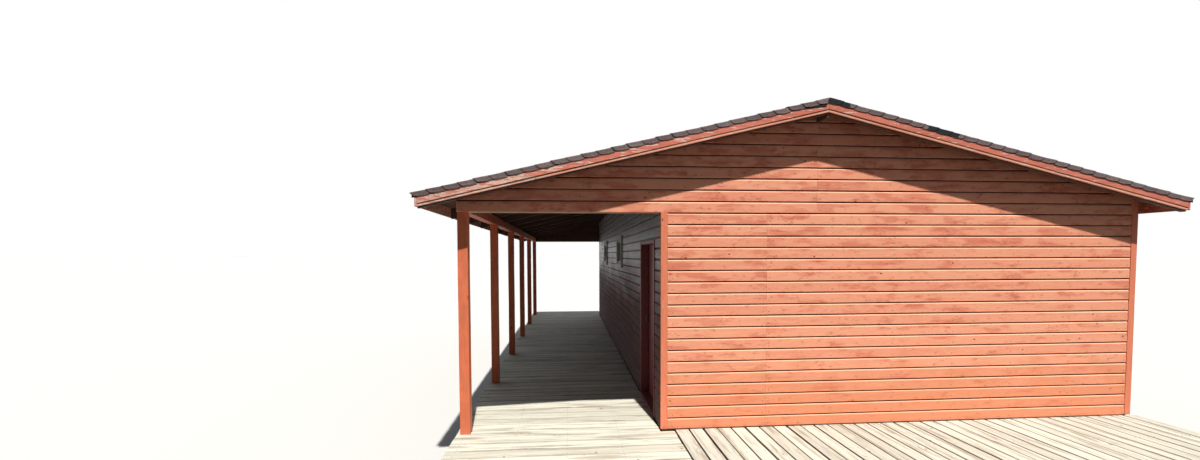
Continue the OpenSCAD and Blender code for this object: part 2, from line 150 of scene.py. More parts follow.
# Shader groups
def makeGrainGroup():
    # Streaks, fibres and knots along the X axis of the vector that goes in
    tree, given, out = newGroup("woodGrain", "ShaderNodeTree",
                                {"Vector": (0.0, 0.0, 0.0), "Knots": 0.5, "Size": 0.014},
                                ("Streaks", "Fibre", "Knot", "Relief"))
    cell, knotForm = (0.42, 0.10, 0.10), (0.30, 0.10, 0.10)  # one cell may hold one knot
    streakScale, fibreScale = (1.1, 26.0, 26.0), (7.0, 260.0, 260.0)
    scaled = vector2(tree, "DIVIDE", given["Vector"], cell)
    spots = addNode(tree, "ShaderNodeTexVoronoi", Vector=scaled, Scale=1.0, Randomness=0.9)
    apart = vector2(tree, "MULTIPLY", vector2(tree, "SUBTRACT", scaled, spots.outputs["Position"]), knotForm)
    far = lengthOf(tree, apart)
    chance = addNode(tree, "ShaderNodeSeparateColor", Color=spots.outputs["Color"]).outputs[0]
    chosen = math2(tree, "LESS_THAN", chance, given["Knots"])
    core = rangeOf(tree, far, 0.004, given["Size"], 1.0, 0.0, "SMOOTHSTEP")
    knot = math2(tree, "MULTIPLY", core, chosen)
    swerve = math2(tree, "MULTIPLY", rangeOf(tree, far, 0.0, 0.07, 0.05, 0.0, "SMOOTHSTEP"), chosen)
    aside = addNode(tree, "ShaderNodeCombineXYZ", X=0.0, Y=swerve, Z=swerve).outputs[0]
    bent = vector2(tree, "ADD", given["Vector"], aside)
    longWays, close = (vector2(tree, "MULTIPLY", bent, scale) for scale in (streakScale, fibreScale))
    streak = noise(tree, longWays, 1.0, 5.0, Roughness=0.6, Distortion=0.3)
    fine = noise(tree, close, 1.0, 3.0, Roughness=0.55)
    relief = math2(tree, "ADD", math2(tree, "MULTIPLY", fine, 0.6), math2(tree, "MULTIPLY", streak, 0.8))
    setSocket(tree, out["Streaks"], rangeOf(tree, streak, 0.34, 0.68))
    setSocket(tree, out["Fibre"], fine)
    setSocket(tree, out["Knot"], knot)
    setSocket(tree, out["Relief"], math2(tree, "SUBTRACT", relief, math2(tree, "MULTIPLY", knot, 0.3)))
    return tree


def makePatchGroup():
    # Soft patches: one mask from noise on a place, pushed by a bias
    tree, given, out = newGroup("weatherPatches", "ShaderNodeTree",
                                {"Vector": (0.0, 0.0, 0.0), "Stretch": (1.0, 1.0, 1.0), "Scale": 2.0,
                                 "Level": 0.5, "Softness": 0.15, "Bias": 0.0}, ("Mask",))
    spread = vector2(tree, "MULTIPLY", given["Vector"], given["Stretch"])
    cloud = noise(tree, spread, given["Scale"], 7.0, Roughness=0.62)
    value = math2(tree, "ADD", cloud, given["Bias"])
    low, high = (math2(tree, way, given["Level"], given["Softness"]) for way in ("SUBTRACT", "ADD"))
    setSocket(tree, out["Mask"], rangeOf(tree, value, low, high, kind="SMOOTHSTEP"))
    return tree


grainGroup = makeGrainGroup()
patchGroup = makePatchGroup()


def patchMask(tree, place, scale, level, soft=0.22, stretch=(1, 1, 1), bias=0.0, **others):
    # The mask of soft patches; the others are what a finish says of its patches beside their form
    return addNode(tree, "ShaderNodeGroup", {"node_tree": patchGroup}, Vector=place, Stretch=stretch,
                   Scale=scale, Level=level, Softness=soft, Bias=bias).outputs["Mask"]


def newMaterial(name):
    made = bpy.data.materials.new(name)
    made.use_nodes = True
    tree = made.node_tree
    return made, tree, tree.nodes["Principled BSDF"], addNode(tree, "ShaderNodeTexCoord").outputs["Object"]


def dress(tree, shader, bump, distance, height, **values):
    # Gives the shader its values and a bump
    for label, value in values.items():
        setSocket(tree, shader.inputs[label.replace("_", " ")], value)
    bumped = addNode(tree, "ShaderNodeBump", Strength=bump, Distance=distance, Height=height)
    setSocket(tree, shader.inputs["Normal"], bumped.outputs[0])


def woodFinish(name, paint, dark, light, knot=None, knots=0.5, knotSize=0.014, along=None, streakDepth=0.5,
               toneSpread=0.5, patch=None, specks=None, grimeAndShade=None, peel=None, grooveDirtAndShading=None, roughness=0.6,
               bump=0.25, fade=0.0, gloss=0.12):
    # One timber finish. along is None where the mesh carries its own grain, or the axis of a CAD node
    made, tree, shader, place = newMaterial(name)
    side, _, height = addNode(tree, "ShaderNodeSeparateXYZ", Vector=place).outputs
    if along is None:
        grainAt, tone = attribute(tree, "grain", "Vector"), attribute(tree, "tone")
    else:
        turn = {"X": (0, 0, 0), "Y": (0, 0, -math.pi / 2)}[along]
        grainAt = addNode(tree, "ShaderNodeMapping", Vector=place, Rotation=turn).outputs[0]
        tone = noise(tree, place, 1.7, 1.0)
    grain = addNode(tree, "ShaderNodeGroup", {"node_tree": grainGroup},
                    Vector=grainAt, Knots=knots, Size=knotSize).outputs
    lively = rangeOf(tree, tone, 0.0, 1.0, -toneSpread, toneSpread)
    streak = math2(tree, "ADD", math2(tree, "MULTIPLY", grain["Streaks"], streakDepth), lively, clamp=True)
    pale = math2(tree, "SUBTRACT", grain["Fibre"], 0.42, clamp=True)
    pale = math2(tree, "MULTIPLY", pale, 1.6, clamp=True)
    colour = mixColour(tree, pale, mixColour(tree, streak, paint, dark), light)
    if patch:  # broad patches where the colour has gone another way, board by board where they say so
        rise = patch.get("rise", 0.0)
        more = rangeOf(tree, height, 0.6, 2.9, -rise, rise)
        area = patchMask(tree, grainAt if patch.get("byBoard") else place, bias=more, **patch)
        lean = math2(tree, "ADD", grain["Streaks"], 0.35)
        part = math2(tree, "MULTIPLY", math2(tree, "MULTIPLY", area, patch["depth"]), lean, clamp=True)
        colour = mixColour(tree, part, colour, patch["colour"])
    if specks:  # small dents and dark spots
        dots = patchMask(tree, grainAt, **specks)
        colour = mixColour(tree, dots, colour, specks["colour"], specks["depth"])
    if knot:
        colour = mixColour(tree, grain["Knot"], colour, knot, 0.9)
    if grimeAndShade:  # darker towards a height: splashed or damp timber on posts and piles, painted shade low on the walls
        rise = rangeOf(tree, height, grimeAndShade["from"], grimeAndShade["to"], grimeAndShade.get("start", 0.0), grimeAndShade["depth"])
        cloudy = patchMask(tree, place, level=0.5, bias=rise, **grimeAndShade)
        colour = mixColour(tree, cloudy, colour, grimeAndShade["colour"], grimeAndShade["depth"])
    if grooveDirtAndShading:  # dirt and painted shade in the gaps between the boards, and a painted highlight on each board's top bevel
        deep = attribute(tree, "grooveDirtAndShading")
        # Bevel marks go towards the light colour as a painted highlight; gap marks take the groove colour as
        # dirt and painted shade
        colour = mixColour(tree, rangeOf(tree, deep, 0.0, 0.16, 0.0, 0.75), colour, light)
        colour = mixColour(tree, math2(tree, "GREATER_THAN", deep, 0.35), colour, grooveDirtAndShading)
    relief = grain["Relief"]
    rough = math2(tree, "ADD", math2(tree, "MULTIPLY", grain["Fibre"], 0.18), roughness - 0.09)
    if grimeAndShade and grimeAndShade.get("dull"):  # dirt takes the sheen away
        rough = math2(tree, "ADD", rough, math2(tree, "MULTIPLY", cloudy, grimeAndShade["dull"]), clamp=True)
    if peel:  # flaked paint: bare wood with a pale rim of old primer
        bias = rangeOf(tree, side, peel["fromX"], peel["toX"], peel["bias"], 0.0)
        rim, bare = (patchMask(tree, place, scale=peel["scale"], level=peel["level"] + inward, soft=0.012,
                               stretch=peel["stretch"], bias=bias)
                     for inward in (0.0, 0.035))
        colour = mixColour(tree, rim, colour, peel["primer"])
        under = mixColour(tree, grain["Streaks"], peel["bare"], peel["bareDark"])
        colour = mixColour(tree, bare, colour, under)
        relief = math2(tree, "SUBTRACT", relief, math2(tree, "MULTIPLY", rim, 0.9))
        rough = math2(tree, "ADD", rough, math2(tree, "MULTIPLY", rim, 0.2), clamp=True)
    if fade:
        worn = patchMask(tree, place, scale=1.1, level=0.5, soft=0.2)
        colour = mixColour(tree, worn, colour, light, fade)
    dress(tree, shader, bump, 0.004, relief, Base_Color=colour, Roughness=rough, Specular_IOR_Level=gloss)
    return made


claddingFinish = woodFinish(
    "claddingPaint", (0.99, 0.410, 0.255), (0.84, 0.255, 0.160), (0.99, 0.58, 0.40), (0.24, 0.05, 0.035),
    knots=0.8, knotSize=0.012, streakDepth=0.42, toneSpread=0.26, roughness=0.62, bump=0.35,
    patch={"stretch": (1.5, 5.5, 5.5), "scale": 1.9, "level": 0.57, "soft": 0.06, "rise": 0.04,
           "byBoard": True, "depth": 0.62, "colour": (0.68, 0.165, 0.105)}, grooveDirtAndShading=(0.030, 0.007, 0.004),
    specks={"stretch": (1.0, 2.0, 2.0), "scale": 11.0, "level": 0.625, "soft": 0.03, "depth": 0.42,
            "colour": (0.50, 0.115, 0.07)},
    # Deeper orange towards the bottom: painted shade offsetting light bounced up from the deck
    grimeAndShade={"from": 1.4, "to": 0.6, "start": -0.3, "depth": 0.5, "stretch": (1, 1, 2), "scale": 3.0,
           "colour": (0.74, 0.25, 0.115)})
# The porch-side wall's paint is a far darker copy of the red cladding paint: painted shade of the porch roof.
# Its grey-teal patches, more of them higher up, are weathering with a painted sky sheen; darker still towards
# the bottom, painted shade
porchCladdingShadedFinish = woodFinish(
    "porchCladdingShadedPaint", (0.25, 0.088, 0.070), (0.10, 0.042, 0.040), (0.30, 0.24, 0.22), (0.09, 0.035, 0.03),
    streakDepth=0.7, toneSpread=0.35, roughness=0.42, bump=0.5, gloss=0.25, grooveDirtAndShading=(0.010, 0.008, 0.008),
    patch={"stretch": (1.4, 9.0, 9.0), "scale": 1.3, "level": 0.50, "soft": 0.10, "rise": 0.14,
           "byBoard": True, "depth": 0.72, "colour": (0.20, 0.265, 0.26)},
    grimeAndShade={"from": 2.5, "to": 0.7, "start": -0.45, "depth": 0.8, "stretch": (1, 1, 1.6), "scale": 1.6,
           "soft": 0.5, "dull": 0.6, "colour": (0.085, 0.044, 0.040)})
evenPeel = {"fromX": -9.0, "toX": -8.0, "bias": 0.0}  # the same all over
trimFinish = woodFinish(
    "trimPaint", (0.88, 0.265, 0.145), (0.58, 0.14, 0.08), (0.95, 0.43, 0.28), (0.24, 0.05, 0.04),
    knots=0.35, toneSpread=0.08, roughness=0.58,
    peel={**evenPeel, "stretch": (3.0, 3.0, 0.45), "scale": 9.0, "level": 0.675,
          "primer": (0.72, 0.58, 0.50), "bare": (0.55, 0.43, 0.34), "bareDark": (0.35, 0.25, 0.19)})
vergePeel = {"fromX": -3.6, "toX": -0.9, "bias": 0.13, "stretch": (0.9, 3.0, 7.0), "scale": 8.0,
             "level": 0.615, "primer": (0.98, 0.80, 0.72), "bare": (0.90, 0.58, 0.48),
             "bareDark": (0.62, 0.30, 0.22)}
vergeFinish = woodFinish(
    "vergePaint", (0.76, 0.22, 0.15), (0.44, 0.10, 0.07), (0.92, 0.44, 0.33), (0.20, 0.05, 0.04),
    knots=0.3, streakDepth=0.55, toneSpread=0.05, roughness=0.66, bump=0.4, peel=vergePeel)
# The strips take a paler copy of the verge paint: a painted highlight of their sunlit lower edge
stripLitFinish = woodFinish(
    "stripLitPaint", (0.97, 0.46, 0.32), (0.74, 0.25, 0.16), (0.98, 0.66, 0.52), (0.35, 0.10, 0.07),
    knots=0.2, streakDepth=0.45, toneSpread=0.10, roughness=0.62, bump=0.3, peel=vergePeel)
postFinish = woodFinish(
    "postPaint", (0.94, 0.235, 0.112), (0.62, 0.13, 0.065), (0.97, 0.36, 0.20), (0.20, 0.035, 0.03),
    knots=0.9, knotSize=0.022, streakDepth=0.45, toneSpread=0.08, roughness=0.56, bump=0.3,
    grimeAndShade={"from": 0.95, "to": 0.55, "depth": 0.35, "stretch": (2, 2, 1), "scale": 4.0,
           "colour": (0.32, 0.10, 0.06)})
# The door's red paint is painted near-black: painted shade of the doorway recessed under the porch roof
doorShadedFinish = woodFinish(
    "doorShadedPaint", (0.115, 0.020, 0.021), (0.055, 0.010, 0.011), (0.19, 0.045, 0.040), (0.03, 0.007, 0.007),
    knots=0.4, streakDepth=0.4, toneSpread=0.12, roughness=0.5, bump=0.2, fade=0.25, gloss=0.3)
deckWood = {"knot": (0.14, 0.10, 0.07), "knots": 0.6, "streakDepth": 0.42, "roughness": 0.78, "bump": 0.6,
            "patch": {"stretch": (0.9, 9.0, 9.0), "scale": 1.5, "level": 0.56, "soft": 0.07, "byBoard": True,
                      "depth": 0.75, "colour": (0.27, 0.225, 0.17)}}
deckFinish = woodFinish(
    "deckTimber", (0.565, 0.580, 0.505), (0.25, 0.225, 0.18), (0.63, 0.63, 0.58), toneSpread=0.22, **deckWood)
crossDeckFinish = woodFinish(
    "crossDeckTimber", (0.60, 0.592, 0.51), (0.27, 0.225, 0.165), (0.66, 0.65, 0.59), toneSpread=0.30,
    **deckWood)
floorFinish = woodFinish(
    "floorTimber", (0.50, 0.36, 0.22), (0.32, 0.21, 0.12), (0.60, 0.46, 0.30), (0.17, 0.09, 0.05),
    toneSpread=0.2)
liningFinish = woodFinish(
    "liningTimber", (0.58, 0.42, 0.26), (0.40, 0.26, 0.14), (0.68, 0.54, 0.37), (0.20, 0.10, 0.05),
    knots=0.65, toneSpread=0.16, bump=0.22)
# Roof boards, rafters and the ridge timber are near-black brown: painted shade of the porch ceiling
roofBoardShadedFinish = woodFinish(
    "roofBoardShadedTimber", (0.15, 0.085, 0.06), (0.08, 0.045, 0.035), (0.22, 0.14, 0.10), (0.05, 0.025, 0.02),
    knots=0.55, streakDepth=0.55, toneSpread=0.22, roughness=0.7, bump=0.35)
windowFinish = woodFinish(
    "windowPaint", (0.42, 0.42, 0.38), (0.27, 0.27, 0.24), (0.56, 0.56, 0.52), (0.20, 0.18, 0.15),
    knots=0.25, streakDepth=0.35, toneSpread=0.08, roughness=0.55,
    peel={**evenPeel, "stretch": (3.0, 1.0, 1.0), "scale": 11.0, "level": 0.64,
          "primer": (0.60, 0.58, 0.54), "bare": (0.36, 0.31, 0.26), "bareDark": (0.24, 0.20, 0.16)})
roofShadedWood = {"paint": (0.13, 0.07, 0.05), "dark": (0.07, 0.038, 0.03), "light": (0.20, 0.12, 0.09),
            "knot": (0.05, 0.025, 0.02), "knots": 0.4, "toneSpread": 0.12, "roughness": 0.7, "bump": 0.35}
rafterFinish = woodFinish("rafterTimber", along="X", **roofShadedWood)
ridgeFinish = woodFinish("ridgeTimber", along="Y", **roofShadedWood)
# Bearers, joists and noggings are painted about three times darker: painted shade under the deck, where sun
# through the board gaps would light them
underDeckShadedWood = {"knot": (0.05, 0.035, 0.02), "knots": 0.4, "toneSpread": 0.15, "roughness": 0.72, "bump": 0.35}
frameFinishX = woodFinish(
    "frameTimberX", (0.17, 0.135, 0.10), (0.085, 0.065, 0.045), (0.25, 0.21, 0.165), along="X", **underDeckShadedWood)
frameFinishY = woodFinish(
    "frameTimberY", (0.16, 0.125, 0.09), (0.080, 0.060, 0.042), (0.24, 0.20, 0.155), along="Y", **underDeckShadedWood)
pileFinish = woodFinish(
    "pileTimber", (0.30, 0.245, 0.18), (0.14, 0.11, 0.08), (0.42, 0.36, 0.28), (0.07, 0.05, 0.04),
    streakDepth=0.7, toneSpread=0.15, roughness=0.8, bump=0.6,
    grimeAndShade={"from": 0.16, "to": 0.0, "depth": 0.8, "stretch": (4, 4, 1.5), "scale": 3.0,
           "colour": (0.07, 0.075, 0.05)})
# Near-black tar felt; hung behind the shingle lips it is underlay and also stands in for the shadow in their
# joints
feltFinish = woodFinish("tarFelt", (0.022, 0.018, 0.018), (0.010, 0.008, 0.009), (0.05, 0.045, 0.045),
                        along="Y", knots=0.0, streakDepth=0.3, toneSpread=0.1, roughness=0.8, bump=0.3)

# Places where the shingles are mended with tar, each a middle and a reach
tarPatches = (((0.11, roof["verge"], roofZ(0, 0.14)), (0.13, 0.20, 0.5)),
              ((1.17, roof["verge"], roofZ(1.17, 0.14)), (0.20, 0.16, 0.5)))


def makeShingleFinish():
    # Mineral-faced bitumen: coarse grains of purple, brown and grey, a tone for each tab, pale dust
    made, tree, shader, place = newMaterial("shingleGranules")
    tone = attribute(tree, "tone")
    grains = addNode(tree, "ShaderNodeTexVoronoi", Vector=place, Scale=420.0)
    speck = addNode(tree, "ShaderNodeSeparateColor", Color=grains.outputs["Color"])
    ramp = addNode(tree, "ShaderNodeValToRGB", Fac=speck.outputs[0])
    stops = ramp.color_ramp.elements
    stops[0].color = (0.070, 0.047, 0.053, 1)
    stops[1].color = (0.40, 0.335, 0.33, 1)
    stops.new(0.45).color = (0.165, 0.114, 0.117, 1)
    shade = rangeOf(tree, tone, 0.2, 1.0, 0.0, 0.42)
    colour = mixColour(tree, shade, ramp.outputs[0], (0.078, 0.046, 0.048))
    colour = mixColour(tree, rangeOf(tree, tone, 0.22, 0.0, 0.0, 0.24), colour, (0.36, 0.28, 0.27))
    dust = patchMask(tree, place, scale=1.6, level=0.55, soft=0.16, stretch=(0.5, 1.0, 1.0))
    colour = mixColour(tree, dust, colour, (0.31, 0.27, 0.25), 0.10)
    moss = patchMask(tree, place, scale=5.0, level=0.70, soft=0.03, stretch=(0.6, 1.6, 1.0))
    colour = mixColour(tree, moss, colour, (0.13, 0.14, 0.06), 0.5)
    for middle, reach in tarPatches:
        near = lengthOf(tree, vector2(tree, "DIVIDE", vector2(tree, "SUBTRACT", place, middle), reach))
        bias = rangeOf(tree, near, 0.5, 1.3, 0.4, -0.4)
        tar = patchMask(tree, place, scale=14.0, level=0.5, soft=0.03, bias=bias)
        colour = mixColour(tree, tar, colour, (0.018, 0.020, 0.026))
    rise = math2(tree, "ADD", speck.outputs[1], math2(tree, "MULTIPLY", dust, 0.4))
    dress(tree, shader, bump=0.55, distance=0.002, height=rise, Base_Color=colour, Roughness=0.92,
          Specular_IOR_Level=0.25)
    return made


def makeMetalFinish(name, base, rust, rustLevel, roughness):
    made, tree, shader, place = newMaterial(name)
    spots = patchMask(tree, place, scale=26.0, level=rustLevel, soft=0.06)
    fine = noise(tree, place, 160.0, 4.0)
    colour = mixColour(tree, fine, base, tuple(min(1.0, c * 1.7 + 0.01) for c in base), 0.5)
    metal = math2(tree, "SUBTRACT", 0.85, math2(tree, "MULTIPLY", spots, 0.8), clamp=True)
    rough = math2(tree, "ADD", math2(tree, "MULTIPLY", spots, 0.35), roughness, clamp=True)
    dress(tree, shader, bump=0.25, distance=0.001, height=math2(tree, "ADD", fine, spots),
          Base_Color=mixColour(tree, spots, colour, rust), Metallic=metal, Roughness=rough)
    return made


def makeGlassFinish():
    made, tree, shader, place = newMaterial("windowGlass")
    film = patchMask(tree, place, scale=5.0, level=0.5, soft=0.25, stretch=(1, 1, 2))
    for label, value in (("Base Color", (0.80, 0.88, 0.90, 1)), ("Transmission Weight", 0.92), ("IOR", 1.45)):
        shader.inputs[label].default_value = value
    rough = math2(tree, "ADD", math2(tree, "MULTIPLY", film, 0.22), 0.04)
    setSocket(tree, shader.inputs["Roughness"], rough)
    return made


shingleFinish = makeShingleFinish()
ironFinish = makeMetalFinish("blackIron", (0.045, 0.045, 0.05), (0.20, 0.075, 0.03), 0.60, 0.42)
nailFinish = makeMetalFinish("nailSteel", (0.16, 0.12, 0.10), (0.17, 0.06, 0.03), 0.50, 0.50)
glassFinish = makeGlassFinish()
print("finishes made:", len(bpy.data.materials))


# Geometry nodes: a piece laid out in rows and columns
def makePatternTree():
    still = (0.0, 0.0, 0.0)
    tree, given, out = newGroup("rowsOfPieces", "GeometryNodeTree",
                                {"Geometry": "NodeSocketGeometry", "Piece": "NodeSocketObject", "Columns": 1,
                                 "Rows": 1, "Column Step": still, "Row Step": still, "Odd Row Shift": still,
                                 "Play": still, "Twist": still, "Seed": 1, "Finish": "NodeSocketMaterial"},
                                ("Geometry",), "NodeSocketGeometry")
    index = tree.nodes.new("GeometryNodeInputIndex").outputs[0]
    column = math2(tree, "MODULO", index, given["Columns"])
    row = math2(tree, "FLOOR", math2(tree, "DIVIDE", math2(tree, "ADD", index, 0.5), given["Columns"]))

    def scaled(vector, amount):
        made = addNode(tree, "ShaderNodeVectorMath", {"operation": "SCALE"}, i0=vector, Scale=amount)
        return made.outputs[0]

    def spread(limit, seedShift):
        made = addNode(tree, "FunctionNodeRandomValue", {"data_type": "FLOAT_VECTOR"},
                       i0=scaled(limit, -1.0), i1=limit)
        setSocket(tree, made.inputs["Seed"], math2(tree, "ADD", given["Seed"], seedShift))
        return made.outputs[0]

    place = vector2(tree, "ADD", scaled(given["Column Step"], column), scaled(given["Row Step"], row))
    place = vector2(tree, "ADD", place, scaled(given["Odd Row Shift"], math2(tree, "MODULO", row, 2.0)))
    place = vector2(tree, "ADD", place, spread(given["Play"], 0.0))
    count = math2(tree, "MULTIPLY", given["Columns"], given["Rows"])
    points = addNode(tree, "GeometryNodePoints", Count=count, Position=place)
    info = addNode(tree, "GeometryNodeObjectInfo", {"transform_space": "ORIGINAL"}, Object=given["Piece"],
                   As_Instance=True)
    laid = addNode(tree, "GeometryNodeInstanceOnPoints", Points=points.outputs[0],
                   Instance=info.outputs["Geometry"], Rotation=spread(given["Twist"], 7.0))
    real = addNode(tree, "GeometryNodeRealizeInstances", Geometry=laid.outputs[0])
    last = addNode(tree, "GeometryNodeSetMaterial", Geometry=real.outputs[0], Material=given["Finish"])
    setSocket(tree, out["Geometry"], last.outputs[0])
    return tree


patternTree = makePatternTree()


def addObject(name, data):
    made = bpy.data.objects.new(name, data)
    bpy.context.scene.collection.objects.link(made)
    return made


def endMesh(bm, mesh=None):
    # Writes a bmesh into a mesh, a new one where none is given
    mesh = bpy.data.meshes.new("piece") if mesh is None else mesh
    bm.to_mesh(mesh)
    bm.free()
    return mesh


def keepBetween(axis, low, high):
    # Two planes that cut away what lies outside two places on an axis
    out = Vector([float(i == axis) for i in range(3)])
    return [(out * low, -out), (out * high, out)]


def trim(mesh, cuts):
    # Cuts closed boards by planes, each a point and the normal of the side that goes, and caps the ends
    bm = bmesh.new()
    bm.from_mesh(mesh)
    for point, normal in cuts:
        everything = bm.verts[:] + bm.edges[:] + bm.faces[:]
        bmesh.ops.bisect_plane(bm, geom=everything, dist=1e-6, plane_co=point, plane_no=normal,
                               clear_outer=True)
        rim = [edge for edge in bm.edges if edge.is_boundary]
        if rim:
            bmesh.ops.holes_fill(bm, edges=rim, sides=0)
    return endMesh(bm, mesh)


def layPattern(pieceMesh, finish, put=None, cuts=(), **sizes):
    # Runs the pattern on one piece, puts it in its place, cuts it and gives back a plain mesh
    piece = addObject("patternPiece", pieceMesh)
    holder = addObject("patternHolder", bpy.data.meshes.new("pattern"))
    modifier = holder.modifiers.new("rows", "NODES")
    modifier.node_group = patternTree
    values = {key.replace("_", " "): value for key, value in sizes.items()}
    values.update(Piece=piece, Finish=finish)
    for socket in patternTree.interface.items_tree:
        if socket.in_out == "INPUT" and socket.name in values:
            modifier[socket.identifier] = values[socket.name]
    graph = bpy.context.evaluated_depsgraph_get()
    mesh = bpy.data.meshes.new_from_object(holder.evaluated_get(graph))
    for thing in (piece, holder):
        bpy.data.objects.remove(thing)
    if put:
        mesh.transform(put)
    return trim(mesh, cuts) if cuts else mesh


def placesOf(mesh):
    co = np.empty(len(mesh.vertices) * 3)
    mesh.vertices.foreach_get("co", co)
    return co.reshape(-1, 3)


def markBoards(mesh, seed):
    # Gives each loose board its own grain place along its length and a tone of its own
    edges = np.empty(len(mesh.edges) * 2, np.int64)
    mesh.edges.foreach_get("vertices", edges)
    a, b = edges[0::2], edges[1::2]
    label, before = np.arange(len(mesh.vertices)), None
    while before is None or (label != before).any():
        low = np.minimum(label[a], label[b])
        before = label.copy()
        np.minimum.at(label, a, low)
        np.minimum.at(label, b, low)
        label = label[label]
    boards, which = np.unique(label, return_inverse=True)
    co = placesOf(mesh)
    low, high = (np.full((len(boards), 3), start) for start in (np.inf, -np.inf))
    np.minimum.at(low, which, co)
    np.maximum.at(high, which, co)
    longest = np.argmax(high - low, axis=1)[which]
    order = np.array([[0, 1, 2], [1, 0, 2], [2, 0, 1]])[longest]
    chance = np.random.default_rng(seed)
    shift = chance.uniform(0, 60, (len(boards), 3))[which]
    grain = np.take_along_axis(co - low[which], order, axis=1) + shift
    tone = chance.uniform(0, 1, len(boards))[which]
    mesh.attributes.new("grain", "FLOAT_VECTOR", "POINT").data.foreach_set("vector", grain.ravel())
    mesh.attributes.new("tone", "FLOAT", "POINT").data.foreach_set("value", tone)


def finishPiece(name, meshes, finish, body="building", stands=(), seed=1, smooth=False):
    # Joins meshes into one named piece with its finish and body, and hides the CAD parts it stands for
    bm = bmesh.new()
    bm.verts.layers.float.new("grooveDirtAndShading")
    for mesh in meshes:
        bm.from_mesh(mesh)
    bmesh.ops.recalc_face_normals(bm, faces=bm.faces[:])
    mesh = endMesh(bm)
    markBoards(mesh, seed)
    mesh.materials.append(finish)
    for face in mesh.polygons:
        face.use_smooth = smooth
    mesh.name = name
    made = addObject(name, mesh)
    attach(made, body)
    if stands:
        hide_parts(*stands)


def addTimber(bm, low, high, edge, bands, wander, chance):
    # One squared timber with eased edges, cut into bands so that its faces can wander a little
    low, high = Vector(low), Vector(high)
    size = high - low
    form = Matrix.Translation((low + high) / 2) @ Matrix.Diagonal((*size, 1))
    verts = set(bmesh.ops.create_cube(bm, size=1.0, matrix=form)["verts"])
    edges = [item for item in bm.edges if item.verts[0] in verts and item.verts[1] in verts]
    eased = bmesh.ops.bevel(bm, geom=edges, offset=min(edge, min(size) * 0.35), segments=2, profile=0.6,
                            affect="EDGES", clamp_overlap=True)
    if not bands:
        return
    island, stack = set(), [eased["verts"][0]]
    while stack:
        vert = stack.pop()
        if vert not in island:
            island.add(vert)
            stack += [item.other_vert(vert) for item in vert.link_edges]
    axis = max(range(3), key=lambda i: size[i])
    normal = Vector([1.0 if i == axis else 0.0 for i in range(3)])
    for step in range(1, bands):
        point = low + normal * size[axis] * step / bands
        faces = {face for vert in island if vert.is_valid for face in vert.link_faces}
        parts = {item for face in faces for item in (*face.verts, *face.edges)}
        cut = bmesh.ops.bisect_plane(bm, geom=[*parts, *faces], dist=1e-6, plane_co=point, plane_no=normal)
        ring = [item for item in cut["geom_cut"] if isinstance(item, bmesh.types.BMVert)]
        island.update(ring)
        push = Vector([0.0 if i == axis else chance.uniform(-wander, wander) for i in range(3)])
        for vert in ring:
            vert.co += push


def timberMesh(boxes, edge=0.003, bands=0, wander=0.0, seed=1):
    bm = bmesh.new()
    chance = random.Random(seed)
    for low, high in boxes:
        addTimber(bm, low, high, edge, bands, wander, chance)
    # The cuts leave the faces in an order that changes from run to run, so they are listed in one order
    bm.verts.index_update()
    faces = sorted(([vert.index for vert in face.verts] for face in bm.faces), key=sorted)
    mesh = bpy.data.meshes.new("piece")
    mesh.from_pydata([tuple(vert.co) for vert in bm.verts], [], faces)
    bm.free()
    return mesh


def stitchRings(rings):
    # A closed tube over rings of places, with flat ends
    bm = bmesh.new()
    rows = [[bm.verts.new(place) for place in ring] for ring in rings]
    count = len(rows[0])
    for low, high in zip(rows, rows[1:]):
        for i in range(count):
            j = (i + 1) % count
            bm.faces.new((low[i], low[j], high[j], high[i]))
    bm.faces.new(rows[0][::-1])
    bm.faces.new(rows[-1])
    bmesh.ops.recalc_face_normals(bm, faces=bm.faces[:])
    return endMesh(bm)


def roundRing(radius, sides, z):
    turns = (2 * math.pi * i / sides for i in range(sides))
    return [(radius * math.cos(turn), radius * math.sin(turn), z) for turn in turns]


def ontoSlope(mesh, side):
    # Leans a mesh, drawn flat with x as the distance from the ridge, onto the slope of that side
    co = placesOf(mesh)
    co[:, 2] = roof["heelZ"] + (farWallX - co[:, 0]) * roof["slope"] + co[:, 2] / roof["cosine"]
    if side < 0:
        co[:, 0] *= -1
    mesh.vertices.foreach_set("co", co.ravel())
    if side < 0:
        mesh.flip_normals()
    mesh.update()
    return mesh


def alongY(x, y, z, outward=-1):
    # Turns what is drawn along X to run along Y. outward is the way that the fronts of wall boards face
    return Matrix(((0, -outward, 0, x), (1, 0, 0, y), (0, 0, 1, z), (0, 0, 0, 1)))


print("tools ready")

# Outside boarding
cladding = {"thick": 0.022, "face": 0.0925, "bevelTop": 0.1040, "bevelIn": 0.0068, "shadow": 0.018,
            "round": 0.003, "jointGap": 0.0014, "lowJointX": -0.525, "highJointX": 0.0, "lip": 0.001}
casingWide = 0.075
cornerWide = 0.070
doorRun = {"headRow": 16, "rows": 9}


def claddingProfile():
    front, ease, top = -cladding["thick"], cladding["round"], cladding["bevelTop"]
    shadow, lip, head = front + cladding["shadow"], cladding["lip"], boardCover - 0.0004
    bevel = front + cladding["bevelIn"]
    return [(0, 0), (front + ease, 0), (front, ease), (front, cladding["face"]), (bevel, top - lip),
            (bevel + lip, top), (shadow, top + lip), (shadow, head), (0, head)]


lining = {"thick": 0.018, "ends": 0.002, "board": 0.020, "ease": 0.004, "bevel": 0.005, "gap": 0.001}


def liningProfile():
    front, head, ease = -lining["board"], boardCover - lining["gap"], lining["ease"]
    return [(0, 0), (front + ease, 0), (front, ease), (front, head - lining["bevel"]),
            (front + lining["bevel"], head), (0, head)]


